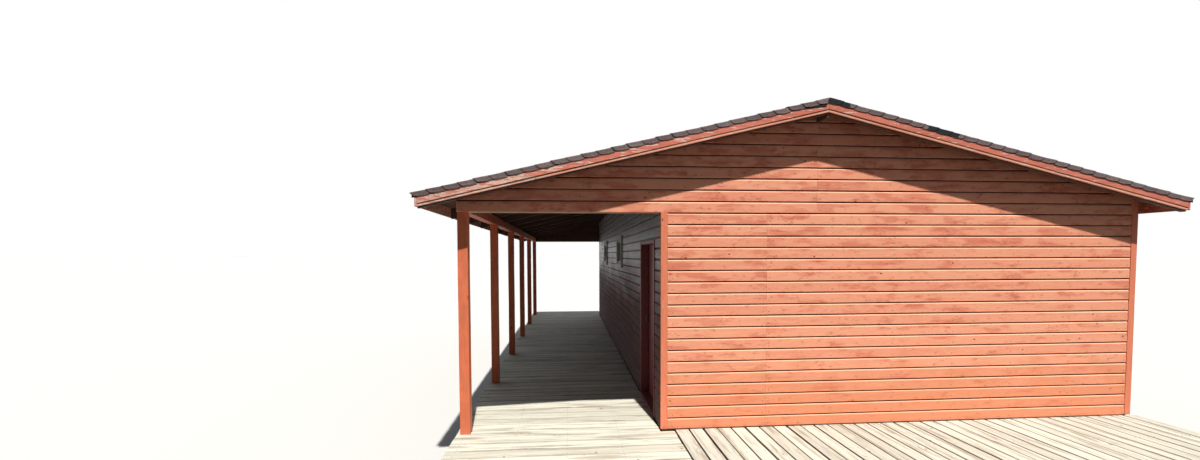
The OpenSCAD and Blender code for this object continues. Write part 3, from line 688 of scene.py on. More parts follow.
def profileMesh(outline, length):
    # A closed outline drawn across, given as pairs, swept over a length. Its top bevel is marked for a
    # painted highlight and its gap for dirt and painted shade
    mesh = stitchRings([[(at, a, b) for a, b in outline] for at in (0.0, length)])
    marks = []
    for vert in mesh.vertices:
        z = vert.co.z - hair
        above = 1.0 if z > cladding["bevelTop"] else 0.16 if z > cladding["face"] else 0.0
        marks.append(above if vert.co.y <= -0.001 else 0.0)
    mesh.attributes.new("grooveDirtAndShading", "FLOAT", "POINT").data.foreach_set("value", marks)
    return mesh


def boardFields(profile, finish, runs, turn, seed):
    # runs: (from, to, first row, rows) along the wall. turn puts the wall's own axes in place. The boards end
    # under the rafters' top edges, and over the doorway the lowest board is ripped to the lining's head
    ridge = Vector((0, 0, roofZ(0, roof["rafterDepth"])))
    underRoof = [(ridge, Vector((lean, 0, 1)).normalized()) for lean in (roof["slope"], -roof["slope"])]
    overDoor = [(Vector((0, 0, doorBox[1].z)), Vector((0, 0, -1)))]
    meshes = []
    for number, (start, stop, first, rows) in enumerate(runs):
        piece = profileMesh(profile, stop - start - cladding["jointGap"])
        cuts = underRoof + overDoor if first == doorRun["headRow"] else underRoof
        put = turn @ Matrix.Translation((start, 0, first * boardCover))
        meshes.append(layPattern(piece, finish, put, cuts, Rows=rows, Row_Step=(0, 0, boardCover),
                                 Play=(0, 0.0007, 0.0005), Twist=(0, 0.0002, 0), Seed=seed + number))
    return meshes


def gableTurn(faceY, outward, thick):
    # A gable whose boards face outward, -1 towards the street and 1 towards the lake
    return Matrix.Translation((0, faceY - outward * thick, deckTop)) @ Matrix.Diagonal((1, -outward, 1, 1))


def sideTurn(faceX, outward, thick):
    # A wall along Y whose boards face outward, -1 towards the porch and 1 towards the far side
    return alongY(faceX - outward * thick, 0, deckTop, outward)


lowX, highX = porchWallX + cornerWide + 0.001, farWallX - cornerWide - 0.001
joint, peak = cladding["lowJointX"], cladding["highJointX"]
gableRuns = [(lowX, joint, 0, headRows), (joint, highX, 0, headRows),
             (gableEndX, peak, headRows, 12), (peak, highX, headRows, 12)]
for name, faceY, outward, stands, seed in (("claddingStreet", streetY, -1, ("front_wall", "front_gable"), 11),
                                           ("claddingLake", lakeY, 1, ("rear_wall", "rear_gable"), 12)):
    fields = boardFields(claddingProfile(), claddingFinish, gableRuns,
                         gableTurn(faceY, outward, cladding["thick"]), seed)
    finishPiece(name, fields, claddingFinish, stands=stands, seed=seed)


def porchSideRuns(first, last):
    # Boards of the porch-side wall round the doorway and the windows, as stretches along the building
    doorLow, doorHigh = doorBox[0].y, doorBox[1].y
    lowJoint = (doorHigh + last) / 2 + 0.4
    highJoint = lowJoint - 0.8
    openings = [place for low, high in windowBoxes for place in (low.y + casingWide, high.y - casingWide)]
    edges = [doorHigh, *openings, last]
    return [(first, doorLow, 0, 25), (doorLow, doorHigh, doorRun["headRow"], doorRun["rows"]),
            (doorHigh, lowJoint, 0, 14), (lowJoint, last, 0, 14),
            *((edges[i], edges[i + 1], 14, 4) for i in range(0, len(edges), 2)),
            (doorHigh, highJoint, 18, 8), (highJoint, last, 18, 8)]


innerStreet, innerLake = streetY + cladding["thick"], lakeY - cladding["thick"]
farRuns = [(innerStreet, -1.2, 0, 22), (-1.2, 1.9, 0, 22), (1.9, innerLake, 0, 22)]
for name, faceX, outward, runs, finish, stands, seed in (
        ("claddingPorchSide", porchWallX, -1, porchSideRuns(innerStreet, innerLake), porchCladdingShadedFinish,
         ("porch_wall_front", "porch_wall_over_door", "porch_wall_rear"), 21),
        ("claddingFarSide", farWallX, 1, farRuns, claddingFinish, ("far_side_wall",), 31)):
    fields = boardFields(claddingProfile(), finish, runs, sideTurn(faceX, outward, cladding["thick"]), seed)
    finishPiece(name, fields, finish, stands=stands, seed=seed)
print("outside boarding laid")


# Wall cores: the CAD walls drawn in by the thickness of their boarding, and the boards inside
def wallCore(nodes, moves):
    # Copies of CAD walls whose faces at some planes are drawn in; moves are (axis, plane, shift)
    meshes = []
    for name in nodes:
        bm = bmesh.new()
        bm.from_mesh(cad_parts[name].data)
        bmesh.ops.remove_doubles(bm, verts=bm.verts[:], dist=1e-5)
        for axis, plane, shift in moves:
            for vert in bm.verts:
                if abs(vert.co[axis] - plane) < 2e-4:
                    vert.co[axis] += shift
        meshes.append(endMesh(bm))
    return meshes


drawIn = cladding["thick"] - hair
inner = lining["thick"] - hair
porchInX, farInX = porchWallX + wallThick, farWallX - wallThick
streetInY, lakeInY = streetY + wallThick, lakeY - wallThick
cores = []
for nodes, faceY, inY, inward in ((("front_wall", "front_gable"), streetY, streetInY, 1),
                                  (("rear_wall", "rear_gable"), lakeY, lakeInY, -1)):
    cores += wallCore(nodes, [(1, faceY, inward * drawIn), (1, inY, -inward * inner), (0, porchWallX, drawIn),
                              (0, farWallX, -drawIn), (0, -farWallX, lining["ends"])])
cores += wallCore(("porch_wall_front", "porch_wall_over_door", "porch_wall_rear", "far_side_wall"),
                  [(0, porchWallX, drawIn), (0, porchInX, -inner), (0, farWallX, -drawIn),
                   (0, farInX, inner)])
finishPiece("wallCores", cores, liningFinish, seed=41)

insides, overPorch = [], []
startX, stopX = porchInX + 0.002, farInX - 0.002
startY, stopY = streetInY + 0.02, lakeInY - 0.02
for faceY, outward in ((streetInY, 1), (lakeInY, -1)):
    put = gableTurn(faceY, outward, lining["thick"])
    runs = [(startX, 1.0, 0, headRows), (1.0, stopX, 0, headRows),
            (startX, 0.8, headRows, 10), (0.8, stopX, headRows, 10)]
    insides += boardFields(liningProfile(), liningFinish, runs, put, 51 + outward)
    # The boards over the porch take the near-black roof board finish: painted shade under the porch roof
    runs = [(-farWallX + 0.004, porchWallX - 0.001, headRows, 6)]
    overPorch += boardFields(liningProfile(), roofBoardShadedFinish, runs, put, 55 + outward)
insides += boardFields(liningProfile(), liningFinish, porchSideRuns(startY, stopY),
                       sideTurn(porchInX, 1, lining["thick"]), 61 + len(insides))
insides += boardFields(liningProfile(), liningFinish, [(startY, 0.3, 0, 22), (0.3, stopY, 0, 22)],
                       sideTurn(farInX, -1, lining["thick"]), 81)
finishPiece("liningInside", insides, liningFinish, seed=42)
finishPiece("liningOverPorch", overPorch, roofBoardShadedFinish, seed=47)
print("cores and lining in place")

# Nails: small domed heads laid in columns and rows
nail = {"radius": 0.0045, "height": 0.0012, "sides": 8, "up": 0.030, "fromJoint": 0.03, "fromCorner": 0.10}


def nailMesh(radius=nail["radius"], height=nail["height"]):
    # A head drawn on the z = 0 plane, with its dome up
    return stitchRings([roundRing(radius * share, nail["sides"], z)
                        for share, z in ((1.0, -0.002), (1.0, height * 0.35), (0.55, height))])


def onFace(x, y, z, outward):
    # Puts what is drawn on the XY plane onto a face that looks outward along an axis, its rows upward
    across = Vector((0, 1, 0) if outward[0] else (1, 0, 0))
    upward = Vector((0, 1, 0) if outward[2] else (0, 0, 1))
    return Matrix(((across.x, upward.x, outward[0], x), (across.y, upward.y, outward[1], y),
                   (across.z, upward.z, outward[2], z), (0, 0, 0, 1)))


def nailRows(put, columns, rows, columnStep, rowStep, seed, play=0.004, **size):
    return layPattern(nailMesh(**size), nailFinish, put, Columns=columns, Rows=rows, Seed=seed,
                      Column_Step=(columnStep, 0, 0), Row_Step=(0, rowStep, 0), Play=(play, play, 0),
                      Twist=(0.04, 0.04, 3.0))


def dropNails(mesh, keep):
    # Takes out the heads whose middle isn't wanted
    bm = bmesh.new()
    bm.from_mesh(mesh)
    verts, each = bm.verts[:], nail["sides"] * 3
    gone = []
    for first in range(0, len(verts), each):
        group = verts[first:first + each]
        if not keep(sum((v.co for v in group), Vector()) / each):
            gone += group
    bmesh.ops.delete(bm, geom=gone, context="VERTS")
    return endMesh(bm, mesh)


def underSlope(p):
    return p.z < roofZ(p.x, roof["rafterDepth"]) - 0.03


def onPorchBoards(p):
    near = 0.01
    inDoor = doorBox[0].y - near < p.y < doorBox[1].y + near and p.z < doorBox[1].z
    inWindow = any(low.y - near < p.y < high.y + near and low.z - near < p.z < high.z + near
                   for low, high in windowBoxes)
    return not inDoor and not inWindow and underSlope(p)


nailZ = deckTop + nail["up"]
wallNails = []
for faceY, outward in ((streetY, -1), (lakeY, 1)):
    for first, last, columns, row, rows, seed in (
            (porchWallX + 0.12, joint - nail["fromJoint"], 2, 0, headRows, 91),
            (joint + nail["fromJoint"], farWallX - nail["fromCorner"], 7, 0, headRows, 91),
            (gableEndX + 0.05, peak - nail["fromJoint"], 7, headRows, 10, 93),
            (peak + nail["fromJoint"], farWallX - nail["fromCorner"], 7, headRows, 10, 93)):
        put = onFace(first, faceY, nailZ + row * boardCover, (0, outward, 0))
        heads = nailRows(put, columns, rows, (last - first) / (columns - 1), boardCover, seed)
        wallNails.append(dropNails(heads, underSlope))
for faceX, outward, rows, seed in ((porchWallX, -1, 25, 95), (farWallX, 1, 20, 97)):
    put = onFace(faceX, streetY + 0.12, nailZ, (outward, 0, 0))
    heads = nailRows(put, 16, rows, 0.5795, boardCover, seed)
    wallNails.append(dropNails(heads, onPorchBoards) if outward < 0 else heads)
finishPiece("claddingNails", wallNails, nailFinish, seed=43)

# Deck boards
deck = {"thick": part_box("porch_deck")[1].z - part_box("porch_deck")[0].z, "gap": 0.011, "longGap": 0.017,
        "edge": 0.004, "crossPitch": 0.15085, "longPitch": 0.14726, "low": 0.0006, "nailIn": 0.032,
        "nailLow": 0.0012}
walkX = porchWallX - 0.008  # where the crosswise boards end beside the cabin
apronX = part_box("front_landing")[0].x - 0.008  # where they end on the landings
porchJoists = (-3.585, -3.078, -2.570, -2.063)


def plankMesh(length, pitch, seed, thick=deck["thick"], gap=deck["gap"], edge=deck["edge"]):
    box = ((0, gap / 2, 0), (length, pitch - gap / 2, thick - 0.0008))
    return timberMesh([box], edge, bands=10, wander=0.0006, seed=seed)


porchBoards = []
startX, plankZ = deckLow.x + 0.003, deckTop - deck["thick"] - deck["low"]
for first, count, endX, seed in ((0, 7, apronX, 101), (7, 60, walkX, 102), (67, 4, apronX, 103)):
    plank = plankMesh(endX - startX - 0.003, deck["crossPitch"], seed)
    put = Matrix.Translation((startX, deckLow.y + first * deck["crossPitch"], plankZ))
    porchBoards.append(layPattern(plank, crossDeckFinish, put, Rows=count,
                                  Row_Step=(0, deck["crossPitch"], 0), Play=(0.0025, 0.0036, 0.0),
                                  Twist=(0.0015, 0.0002, 0.0006), Seed=seed))
finishPiece("porchDeckBoards", porchBoards, crossDeckFinish, stands=("porch_deck",), seed=44)
for name, node, seed in (("landingBoardsStreet", "front_landing", 104),
                         ("landingBoardsLake", "rear_landing", 105)):
    low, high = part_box(node)
    plank = plankMesh(high.y - low.y - 0.008, deck["longPitch"], seed, gap=deck["longGap"])
    boards = layPattern(plank, deckFinish, alongY(low.x, low.y + 0.004, low.z - deck["low"]), Rows=35,
                        Row_Step=(0, deck["longPitch"], 0), Play=(0.003, 0.0048, 0.0),
                        Twist=(0.0015, 0.0004, 0.0006), Seed=seed)
    finishPiece(name, [boards], deckFinish, stands=(node,), seed=seed)

deckNails = []
headZ = deckTop - deck["nailLow"]
for x in porchJoists:
    for side in (deck["nailIn"], deck["crossPitch"] - deck["nailIn"]):
        put = onFace(x, deckLow.y + side, headZ, (0, 0, 1))
        deckNails.append(nailRows(put, 1, 71, 0, deck["crossPitch"], 111 + len(deckNails)))
for node, rowsY in (("front_landing", (-5.33, -4.805, -4.305)), ("rear_landing", (4.755, 5.03, 5.33))):
    for y in rowsY:
        for side in (deck["nailIn"], deck["longPitch"] - deck["nailIn"]):
            put = onFace(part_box(node)[0].x + side, y, headZ, (0, 0, 1))
            deckNails.append(nailRows(put, 35, 1, deck["longPitch"], 0, 111 + len(deckNails)))
finishPiece("deckNails", deckNails, nailFinish, seed=45)

floorLow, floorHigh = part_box("cabin_floor")
floorRun, floorRows = (floorHigh.y - floorLow.y) / 2, 42
floorPitch = (floorHigh.x - floorLow.x) / floorRows
boards = layPattern(plankMesh(floorRun - 0.003, floorPitch, 121, edge=0.0015, gap=0.0015), floorFinish,
                    alongY(floorLow.x, floorLow.y - 0.6, floorLow.z), keepBetween(1, floorLow.y, floorHigh.y),
                    Columns=3, Rows=floorRows, Column_Step=(floorRun, 0, 0), Row_Step=(0, floorPitch, 0),
                    Odd_Row_Shift=(-1.3, 0, 0), Seed=122)
finishPiece("cabinFloorBoards", [boards], floorFinish, stands=("cabin_floor",), seed=46)
print("deck laid")


# Posts, beam, corner boards and the trim of the roof's edges
squared = {"inset": 0.0008, "edge": 0.004, "bands": 14, "wander": 0.0008}


def insetTimber(node, inset, **form):
    # The CAD timber drawn in a little, so that its wandering faces stay inside it
    low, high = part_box(node)
    shift = Vector((inset, inset, 0))
    return timberMesh([(low + shift, high - shift)], **form)


for number in range(1, 7):
    node = "post_%d" % number
    post = insetTimber(node, **squared, seed=130 + number)
    finishPiece("post%d" % number, [post], postFinish, stands=(node,), seed=140 + number)
beam = insetTimber("porch_beam", **{**squared, "bands": 20}, seed=139)
finishPiece("porchBeam", [beam], postFinish, stands=("porch_beam",), seed=139)

corners = []
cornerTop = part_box("corner_boards_front")[1].z
for faceY in (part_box("corner_boards_front")[0].y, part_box("corner_boards_rear")[1].y - 0.026):
    for x, top in ((porchWallX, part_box("post_1")[1].z), (farWallX - cornerWide, cornerTop)):
        corners.append(((x + hair, faceY + hair, deckTop), (x + cornerWide - hair, faceY + 0.0255, top)))
finishPiece("cornerBoards", [timberMesh(corners, bands=16, wander=0.0005, seed=151)], trimFinish,
            stands=("corner_boards_front", "corner_boards_rear"), seed=152)


def slopeTimbers(street, form, lengths, seed):
    # Verge timbers of one gable end on both slopes, each from the ridge's plumb joint to the eave
    slit, plumbGap = 0.0003, 0.0008
    startY = roof["verge"] - form["thick"] if street else roof["vergeLake"] + slit
    stopY = startY + form["thick"] - slit
    run = roof["tailX"] / lengths
    meshes = []
    for side in (1, -1):
        for number in range(lengths):
            box = ((number * run + plumbGap, startY, form["low"]),
                   ((number + 1) * run - plumbGap, stopY, form["high"]))
            mesh = timberMesh([box], bands=16, wander=0.0006, seed=seed + side + number)
            meshes.append(ontoSlope(mesh, side))
    return meshes


vergeBoard = {"low": 0.0393, "high": 0.1353, "thick": 0.022}
vergeStrip = {"low": 0.0133, "high": 0.0353, "thick": 0.017}
for name, node, street, seed in (("vergeBoardsStreet", "verge_boards_front", True, 161),
                                 ("vergeBoardsLake", "verge_boards_rear", False, 165)):
    boards = slopeTimbers(street, vergeBoard, 1, seed)
    finishPiece(name, boards, vergeFinish, stands=(node,), seed=seed)
strips = slopeTimbers(True, vergeStrip, 2, 171) + slopeTimbers(False, vergeStrip, 2, 175)
finishPiece("vergeStrips", strips, stripLitFinish, stands=("verge_strips",), seed=176)
for name, node in (("fasciaPorchSide", "fascia_porch_side"), ("fasciaFarSide", "fascia_far_side")):
    board = insetTimber(node, 0.0006, bands=24, wander=0.0005, seed=181)
    finishPiece(name, [board], vergeFinish, stands=(node,), seed=182)
print("posts and trim in place")

# Roof boarding and shingles
boarding = {"rows": 29, "gap": 0.003, "thick": 0.0204, "edge": 0.0015}
lowY, highY = roof["verge"], roof["vergeLake"]
boardRun = (highY - lowY) / 2
boardPitch = (roof["tailX"] - 0.001) / boarding["rows"]
for name, node, side in (("roofBoardsFarSide", "roof_boarding_far_side", 1),
                         ("roofBoardsPorchSide", "roof_boarding_porch_side", -1)):
    plank = plankMesh(boardRun - 0.003, boardPitch, 191, boarding["thick"], boarding["gap"], boarding["edge"])
    boards = layPattern(plank, roofBoardShadedFinish, alongY(0.0008, lowY - 0.9, roof["boardLow"]),
                        keepBetween(1, lowY + hair, highY - hair), Columns=3, Rows=boarding["rows"],
                        Column_Step=(boardRun, 0, 0), Row_Step=(0, boardPitch, 0), Odd_Row_Shift=(-2.1, 0, 0),
                        Seed=192)
    finishPiece(name, [ontoSlope(boards, side)], roofBoardShadedFinish, stands=(node,),
                seed=193 + side)

shingle = {"courses": 28, "thick": 0.0034, "lap": 0.030, "tabs": 28, "slot": 0.005, "lift": 0.0040,
           "lipDrop": 0.050, "turn": 0.135, "joint": 0.006, "lipOver": 0.003, "lipThick": 0.0020,
           "inside": 0.012}
felt = {"drop": 0.046, "in": 0.0061, "thick": 0.0014, "sag": 0.078, "edge": 0.0005}
edgeStreet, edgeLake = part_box("shingles_far_side")[0].y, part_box("shingles_far_side")[1].y
exposure = (roof["dripX"] - 0.001) / shingle["courses"]
tabWide = (edgeLake - edgeStreet) / shingle["tabs"]


def sheetMesh(grid, thick):
    # A closed plate from a grid, each point a place and the way out of the plate there
    bm = bmesh.new()
    rows, columns = len(grid) - 1, len(grid[0]) - 1
    top = [[bm.verts.new(place) for place, _ in row] for row in grid]
    under = [[bm.verts.new(Vector(place) - Vector(out) * thick) for place, out in row] for row in grid]
    for i in range(rows):
        for j in range(columns):
            bm.faces.new((top[i][j], top[i + 1][j], top[i + 1][j + 1], top[i][j + 1]))
            bm.faces.new((under[i][j], under[i][j + 1], under[i + 1][j + 1], under[i + 1][j]))
    for i in range(rows):
        bm.faces.new((top[i][0], under[i][0], under[i + 1][0], top[i + 1][0]))
        bm.faces.new((top[i][-1], top[i + 1][-1], under[i + 1][-1], under[i][-1]))
    for j in range(columns):
        bm.faces.new((top[0][j], top[0][j + 1], under[0][j + 1], under[0][j]))
        bm.faces.new((top[-1][j], under[-1][j], under[-1][j + 1], top[-1][j + 1]))
    bmesh.ops.recalc_face_normals(bm, faces=bm.faces[:])
    return endMesh(bm)


def tabMesh():
    # One shingle tab in flat places: x from the ridge to the eave, y along the roof, its low edge lifted
    length, wide, corner = exposure + shingle["lap"], tabWide - shingle["slot"], 0.09
    grid = []
    for share, curl in ((0.0, 0.0), (0.55, 0.0), (0.93, 0.0), (1.0, -0.0012)):
        lift = shingle["thick"] + shingle["lift"] * share + curl
        row = []
        for y, dip in ((0.0, -0.0004), (corner, 0.0), (tabWide / 2, 0.0003), (wide - corner, 0.0),
                       (wide, -0.0004)):
            short = 0.002 if dip < 0 and share == 1.0 else 0.0
            row.append(((share * length - short, y, lift + dip * share), (0, 0, 1)))
        grid.append(row)
    return sheetMesh(grid, shingle["thick"] * 0.8)


def lipMesh():
    # One tab bent down over the verge: closed on the roof, with a leaning joint and an uneven hanging edge
    grid = []
    levels = [(shingle["turn"], 0.0, (0, 0, 1)), (0.012, 0.0, (0, 0, 1)), (0.0035, -0.0022, (0, -0.5, 0.86)),
              (0.0010, -0.0080, (0, -1, 0.1)), (0.0014, -0.030, (0, -1, 0)),
              (0.0006, -shingle["lipDrop"], (0, -1, 0))]
    for inward, drop, out in levels:
        row = []
        length = exposure + (shingle["lipOver"] if drop > -0.005 else -shingle["joint"])
        for share in (0.0, 0.2, 0.45, 0.7, 0.92, 1.0):
            wave = abs(0.0010 * math.sin(share * 7.0) * min(1.0, -drop / 0.05))
            z = drop + 0.0045 * share - 0.001
            if drop < -0.04:
                z += 0.007 * (1 - math.sin(math.pi * min(1.0, share * 0.9 + 0.12)))
            row.append(((share * length + drop * 0.75, inward + 0.0016 * (1 - share) + wave, z), out))
        grid.append(row)
    return sheetMesh(grid, shingle["lipThick"])


feltEdges = []
eaveX = roof["dripX"] - hair
for name, node, side, seed in (("shinglesFarSide", "shingles_far_side", 1, 201),
                               ("shinglesPorchSide", "shingles_porch_side", -1, 205)):
    put = Matrix.Translation((0.001 - shingle["lap"], edgeStreet + 0.004, roof["shingleLow"] + 0.0001))
    cuts = keepBetween(1, edgeStreet + shingle["inside"], edgeLake - shingle["inside"])
    cuts += keepBetween(0, 0.012, eaveX)
    flat = layPattern(tabMesh(), shingleFinish, put, cuts, Columns=shingle["tabs"] + 1,
                      Rows=shingle["courses"], Column_Step=(0, tabWide, 0), Row_Step=(exposure, 0, 0),
                      Odd_Row_Shift=(0, -tabWide / 2, 0), Play=(0.0016, 0.0010, 0.0003),
                      Twist=(0.0008, 0.0008, 0.002), Seed=seed)
    pieces = [ontoSlope(flat, side)]
    for edgeY, turn in ((edgeStreet, 1), (edgeLake, -1)):
        put = Matrix.Translation((0.0, edgeY, roof["top"] + 0.0012)) @ Matrix.Diagonal((1, turn, 1, 1))
        lip = layPattern(lipMesh(), shingleFinish, put, keepBetween(0, hair, eaveX),
                         Rows=shingle["courses"], Row_Step=(exposure, 0, 0), Play=(0.0012, 0.0003, 0.0026),
                         Twist=(0.003, 0.020, 0.002), Seed=seed + turn + 3)
        pieces.append(ontoSlope(lip, side))
        nearY, farY = sorted(edgeY + turn * (felt["in"] + more) for more in (0.0, felt["thick"]))
        hung = timberMesh([((0.001, nearY, roof["top"] - felt["drop"]),
                            (roof["dripX"] - 0.02, farY, roof["top"] - 0.001))], edge=felt["edge"])
        feltEdges.append(ontoSlope(hung, side))
        if side < 0 and turn > 0:  # here the felt hangs down beside the ridge
            sag = timberMesh([((0.03, nearY, roof["top"] - felt["sag"]), (0.34, farY, roof["top"] - 0.030))],
                             edge=felt["edge"])
            for vert in sag.vertices:
                if vert.co.x > 0.2 and vert.co.z < roof["top"] - 0.04:
                    vert.co.z = roof["top"] - felt["drop"]
            feltEdges.append(ontoSlope(sag, side))
    finishPiece(name, pieces, shingleFinish, stands=(node,), seed=seed)
finishPiece("feltEdges", feltEdges, feltFinish, seed=209)


def capMesh():
    # One folded ridge piece over both slopes, its street end lifted
    grid = []
    for along, lift in ((0.0, 0.0022), (0.10, 0.0012), (0.185, 0.0)):
        row = []
        for x in (-0.148, -0.09, -0.035, -0.010, 0.0, 0.010, 0.035, 0.09, 0.148):
            level = roofZ(max(abs(x), 0.004), roof["top"]) + 0.0030 - (0.0012 if abs(x) < 0.012 else 0.0)
            row.append(((x, along, level + lift), (0.22 * (x > 0.02) - 0.22 * (x < -0.02), 0, 0.97)))
        grid.append(row)
    return sheetMesh(grid, 0.0026)


capLow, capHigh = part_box("ridge_cap")
caps = layPattern(capMesh(), shingleFinish, Matrix.Translation((0, capLow.y + 0.006, 0)),
                  keepBetween(1, capLow.y + 0.001, capHigh.y - 0.001), Rows=62, Row_Step=(0, 0.151, 0),
                  Play=(0.0012, 0.004, 0.0002), Twist=(0.0008, 0.003, 0.003), Seed=211)
finishPiece("ridgeCapPieces", [caps], shingleFinish, stands=("ridge_cap",), seed=212)
print("roof covered")


# Door
def boxesAt(fromX, toX, spans):
    # Boxes between two places across the wall, from spans of (low y, high y, low z, high z)
    return [((fromX, lowY, lowZ), (toX, highY, highZ)) for lowY, highY, lowZ, highZ in spans]


jamb = {"thick": 0.030, "stop": 0.012, "stopFrontX": doorBox[0].x + 0.006,
        "stopBackX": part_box("door_leaf")[0].x - 0.004, "threshold": 0.570}
lowY, highY, headZ = doorBox[0].y, doorBox[1].y, doorBox[1].z
inLow, inHigh, inTop = lowY + jamb["thick"], highY - jamb["thick"], headZ - jamb["thick"]
stopTop = inTop - jamb["stop"]
lined = boxesAt(doorBox[0].x, doorBox[1].x - hair, (
    (lowY + hair, inLow - hair, jamb["threshold"], inTop),
    (inHigh + hair, highY - hair, jamb["threshold"], inTop),
    (lowY + hair, highY - hair, inTop + hair, headZ - hair),
    (lowY + hair, highY - hair, doorBox[0].z + hair, jamb["threshold"])))
stops = boxesAt(jamb["stopFrontX"], jamb["stopBackX"], (
    (inLow - 0.001, inLow + jamb["stop"], jamb["threshold"], stopTop),
    (inHigh - jamb["stop"], inHigh + 0.001, jamb["threshold"], stopTop),
    (inLow, inHigh, stopTop, inTop + 0.001)))
lined = timberMesh(lined, bands=10, wander=0.0003, seed=221)
finishPiece("doorLining", [lined, timberMesh(stops, edge=0.002)], doorShadedFinish,
            stands=("door_frame",), seed=222)

leafLow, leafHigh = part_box("door_leaf")
leaf = {"boards": 7, "thick": 0.025, "joint": 0.0006, "ledgeLow": (0.725, 1.461, 2.197), "ledgeHigh": 0.120,
        "ledgeShort": 0.024, "braceWide": 0.085}
boardWide = (leafHigh.y - leafLow.y) / leaf["boards"]
box = ((leaf["joint"], leaf["joint"], 0),
       (leaf["thick"] - 0.0004, boardWide - leaf["joint"], leafHigh.z - leafLow.z))
plank = timberMesh([box], edge=0.0035, bands=12, wander=0.0003, seed=223)
boards = layPattern(plank, doorShadedFinish, Matrix.Translation(leafLow), Rows=leaf["boards"],
                    Row_Step=(0, boardWide, 0), Play=(0.0002, 0, 0), Seed=224)
ledgeX = leafLow.x + leaf["thick"]
ledgeSpans = [(leafLow.y + leaf["ledgeShort"], leafHigh.y - leaf["ledgeShort"], z, z + leaf["ledgeHigh"])
              for z in leaf["ledgeLow"]]
ledges = boxesAt(ledgeX, leafHigh.x - 0.0004, ledgeSpans)
leafParts = [boards, timberMesh(ledges, edge=0.004, bands=8, wander=0.0003, seed=225)]
run = leafHigh.y - leafLow.y - 0.20 - leaf["braceWide"]
for low, high in zip(leaf["ledgeLow"], leaf["ledgeLow"][1:]):
    rise = high - low - leaf["ledgeHigh"]
    brace = timberMesh([((ledgeX, 0, 0), (leafHigh.x - 0.002, leaf["braceWide"], rise))])
    for vert in brace.vertices:
        vert.co.y += vert.co.z / rise * run
    brace.transform(Matrix.Translation((0, leafLow.y + 0.06, low + leaf["ledgeHigh"])))
    leafParts.append(brace)
finishPiece("doorBoards", leafParts, doorShadedFinish, body="door", stands=("door_leaf",), seed=226)

clench = []
for z in leaf["ledgeLow"]:
    for part in (0.3, 0.7):
        headZ = z + leaf["ledgeHigh"] * part
        put = onFace(leafLow.x + 0.0014, leafLow.y + boardWide * 0.5, headZ, (-1, 0, 0))
        clench.append(nailRows(put, leaf["boards"], 1, boardWide, 0, 231 + len(clench), play=0.003))
for z in (0.785, 2.257):  # the heads of the bolts through the two straps
    put = onFace(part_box("hinge_straps")[1].x - 0.0008, leafLow.y + 0.07, z, (1, 0, 0))
    clench.append(nailRows(put, 4, 1, 0.10, 0, 241, play=0.0, radius=0.0075, height=0.0030))
finishPiece("doorNails", clench, nailFinish, body="door", seed=227)

handleLow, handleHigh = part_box("door_handle")
bow = {"radius": 0.0055, "bend": 0.018, "foot": 1.12, "sides": 12, "steps": 6, "in": 0.002}


def bowMesh(baseX, gripX, low, high, y):
    # A bow handle: a round bar swept from one foot out to the grip and back
    radius, bend = bow["radius"], bow["bend"]
    outward = 1 if gripX > baseX else -1
    reach = abs(gripX - baseX) - radius
    path = [Vector((baseX, y, low + radius))]
    for step in range(bow["steps"] + 1):
        angle = math.pi / 2 * step / bow["steps"]
        path.append(Vector((baseX + outward * (reach - bend + bend * math.sin(angle)), y,
                            low + radius + bend * (1 - math.cos(angle)))))
    path += [Vector((p.x, p.y, low + high - p.z)) for p in reversed(path)]
    rings = []
    side = Vector((0, 1, 0))
    for i, place in enumerate(path):
        ahead = path[min(i + 1, len(path) - 1)] - path[max(i - 1, 0)]
        across = ahead.normalized().cross(side)
        thick = radius * (bow["foot"] if i in (0, len(path) - 1) else 1.0)
        rings.append([place + side * a + across * b for a, b, _ in roundRing(thick, bow["sides"], 0)])
    return stitchRings(rings)


middleY = (handleLow.y + handleHigh.y) / 2
bows = [bowMesh(baseX, gripX, handleLow.z + bow["in"], handleHigh.z - bow["in"], middleY)
        for baseX, gripX in ((leafLow.x, handleLow.x), (leafHigh.x, handleHigh.x))]
for x, outward in ((leafLow.x + 0.0006, -1), (leafHigh.x - 0.0006, 1)):
    for z in (handleLow.z + 0.0075, handleHigh.z - 0.0075):
        plate = nailMesh(radius=0.0069, height=0.0030)
        plate.transform(onFace(x, middleY, z, (outward, 0, 0)))
        bows.append(plate)
finishPiece("doorBows", bows, ironFinish, body="door", stands=("door_handle",), seed=228, smooth=True)


# Windows
def frameBoxes(low, high, wide, fromX, toX, back=0.0, inset=0.0, gap=0.0):
    # Bottom, top, left and right of a four-sided frame. Its uprights lie back and in a little from its rails
    rails = ((low.y, high.y, low.z, low.z + wide - gap), (low.y, high.y, high.z - wide + gap, high.z))
    uprights = ((low.y + inset, low.y + wide, low.z + wide, high.z - wide),
                (high.y - wide, high.y - inset, low.z + wide, high.z - wide))
    return boxesAt(fromX, toX, rails) + boxesAt(fromX + back, toX, uprights)


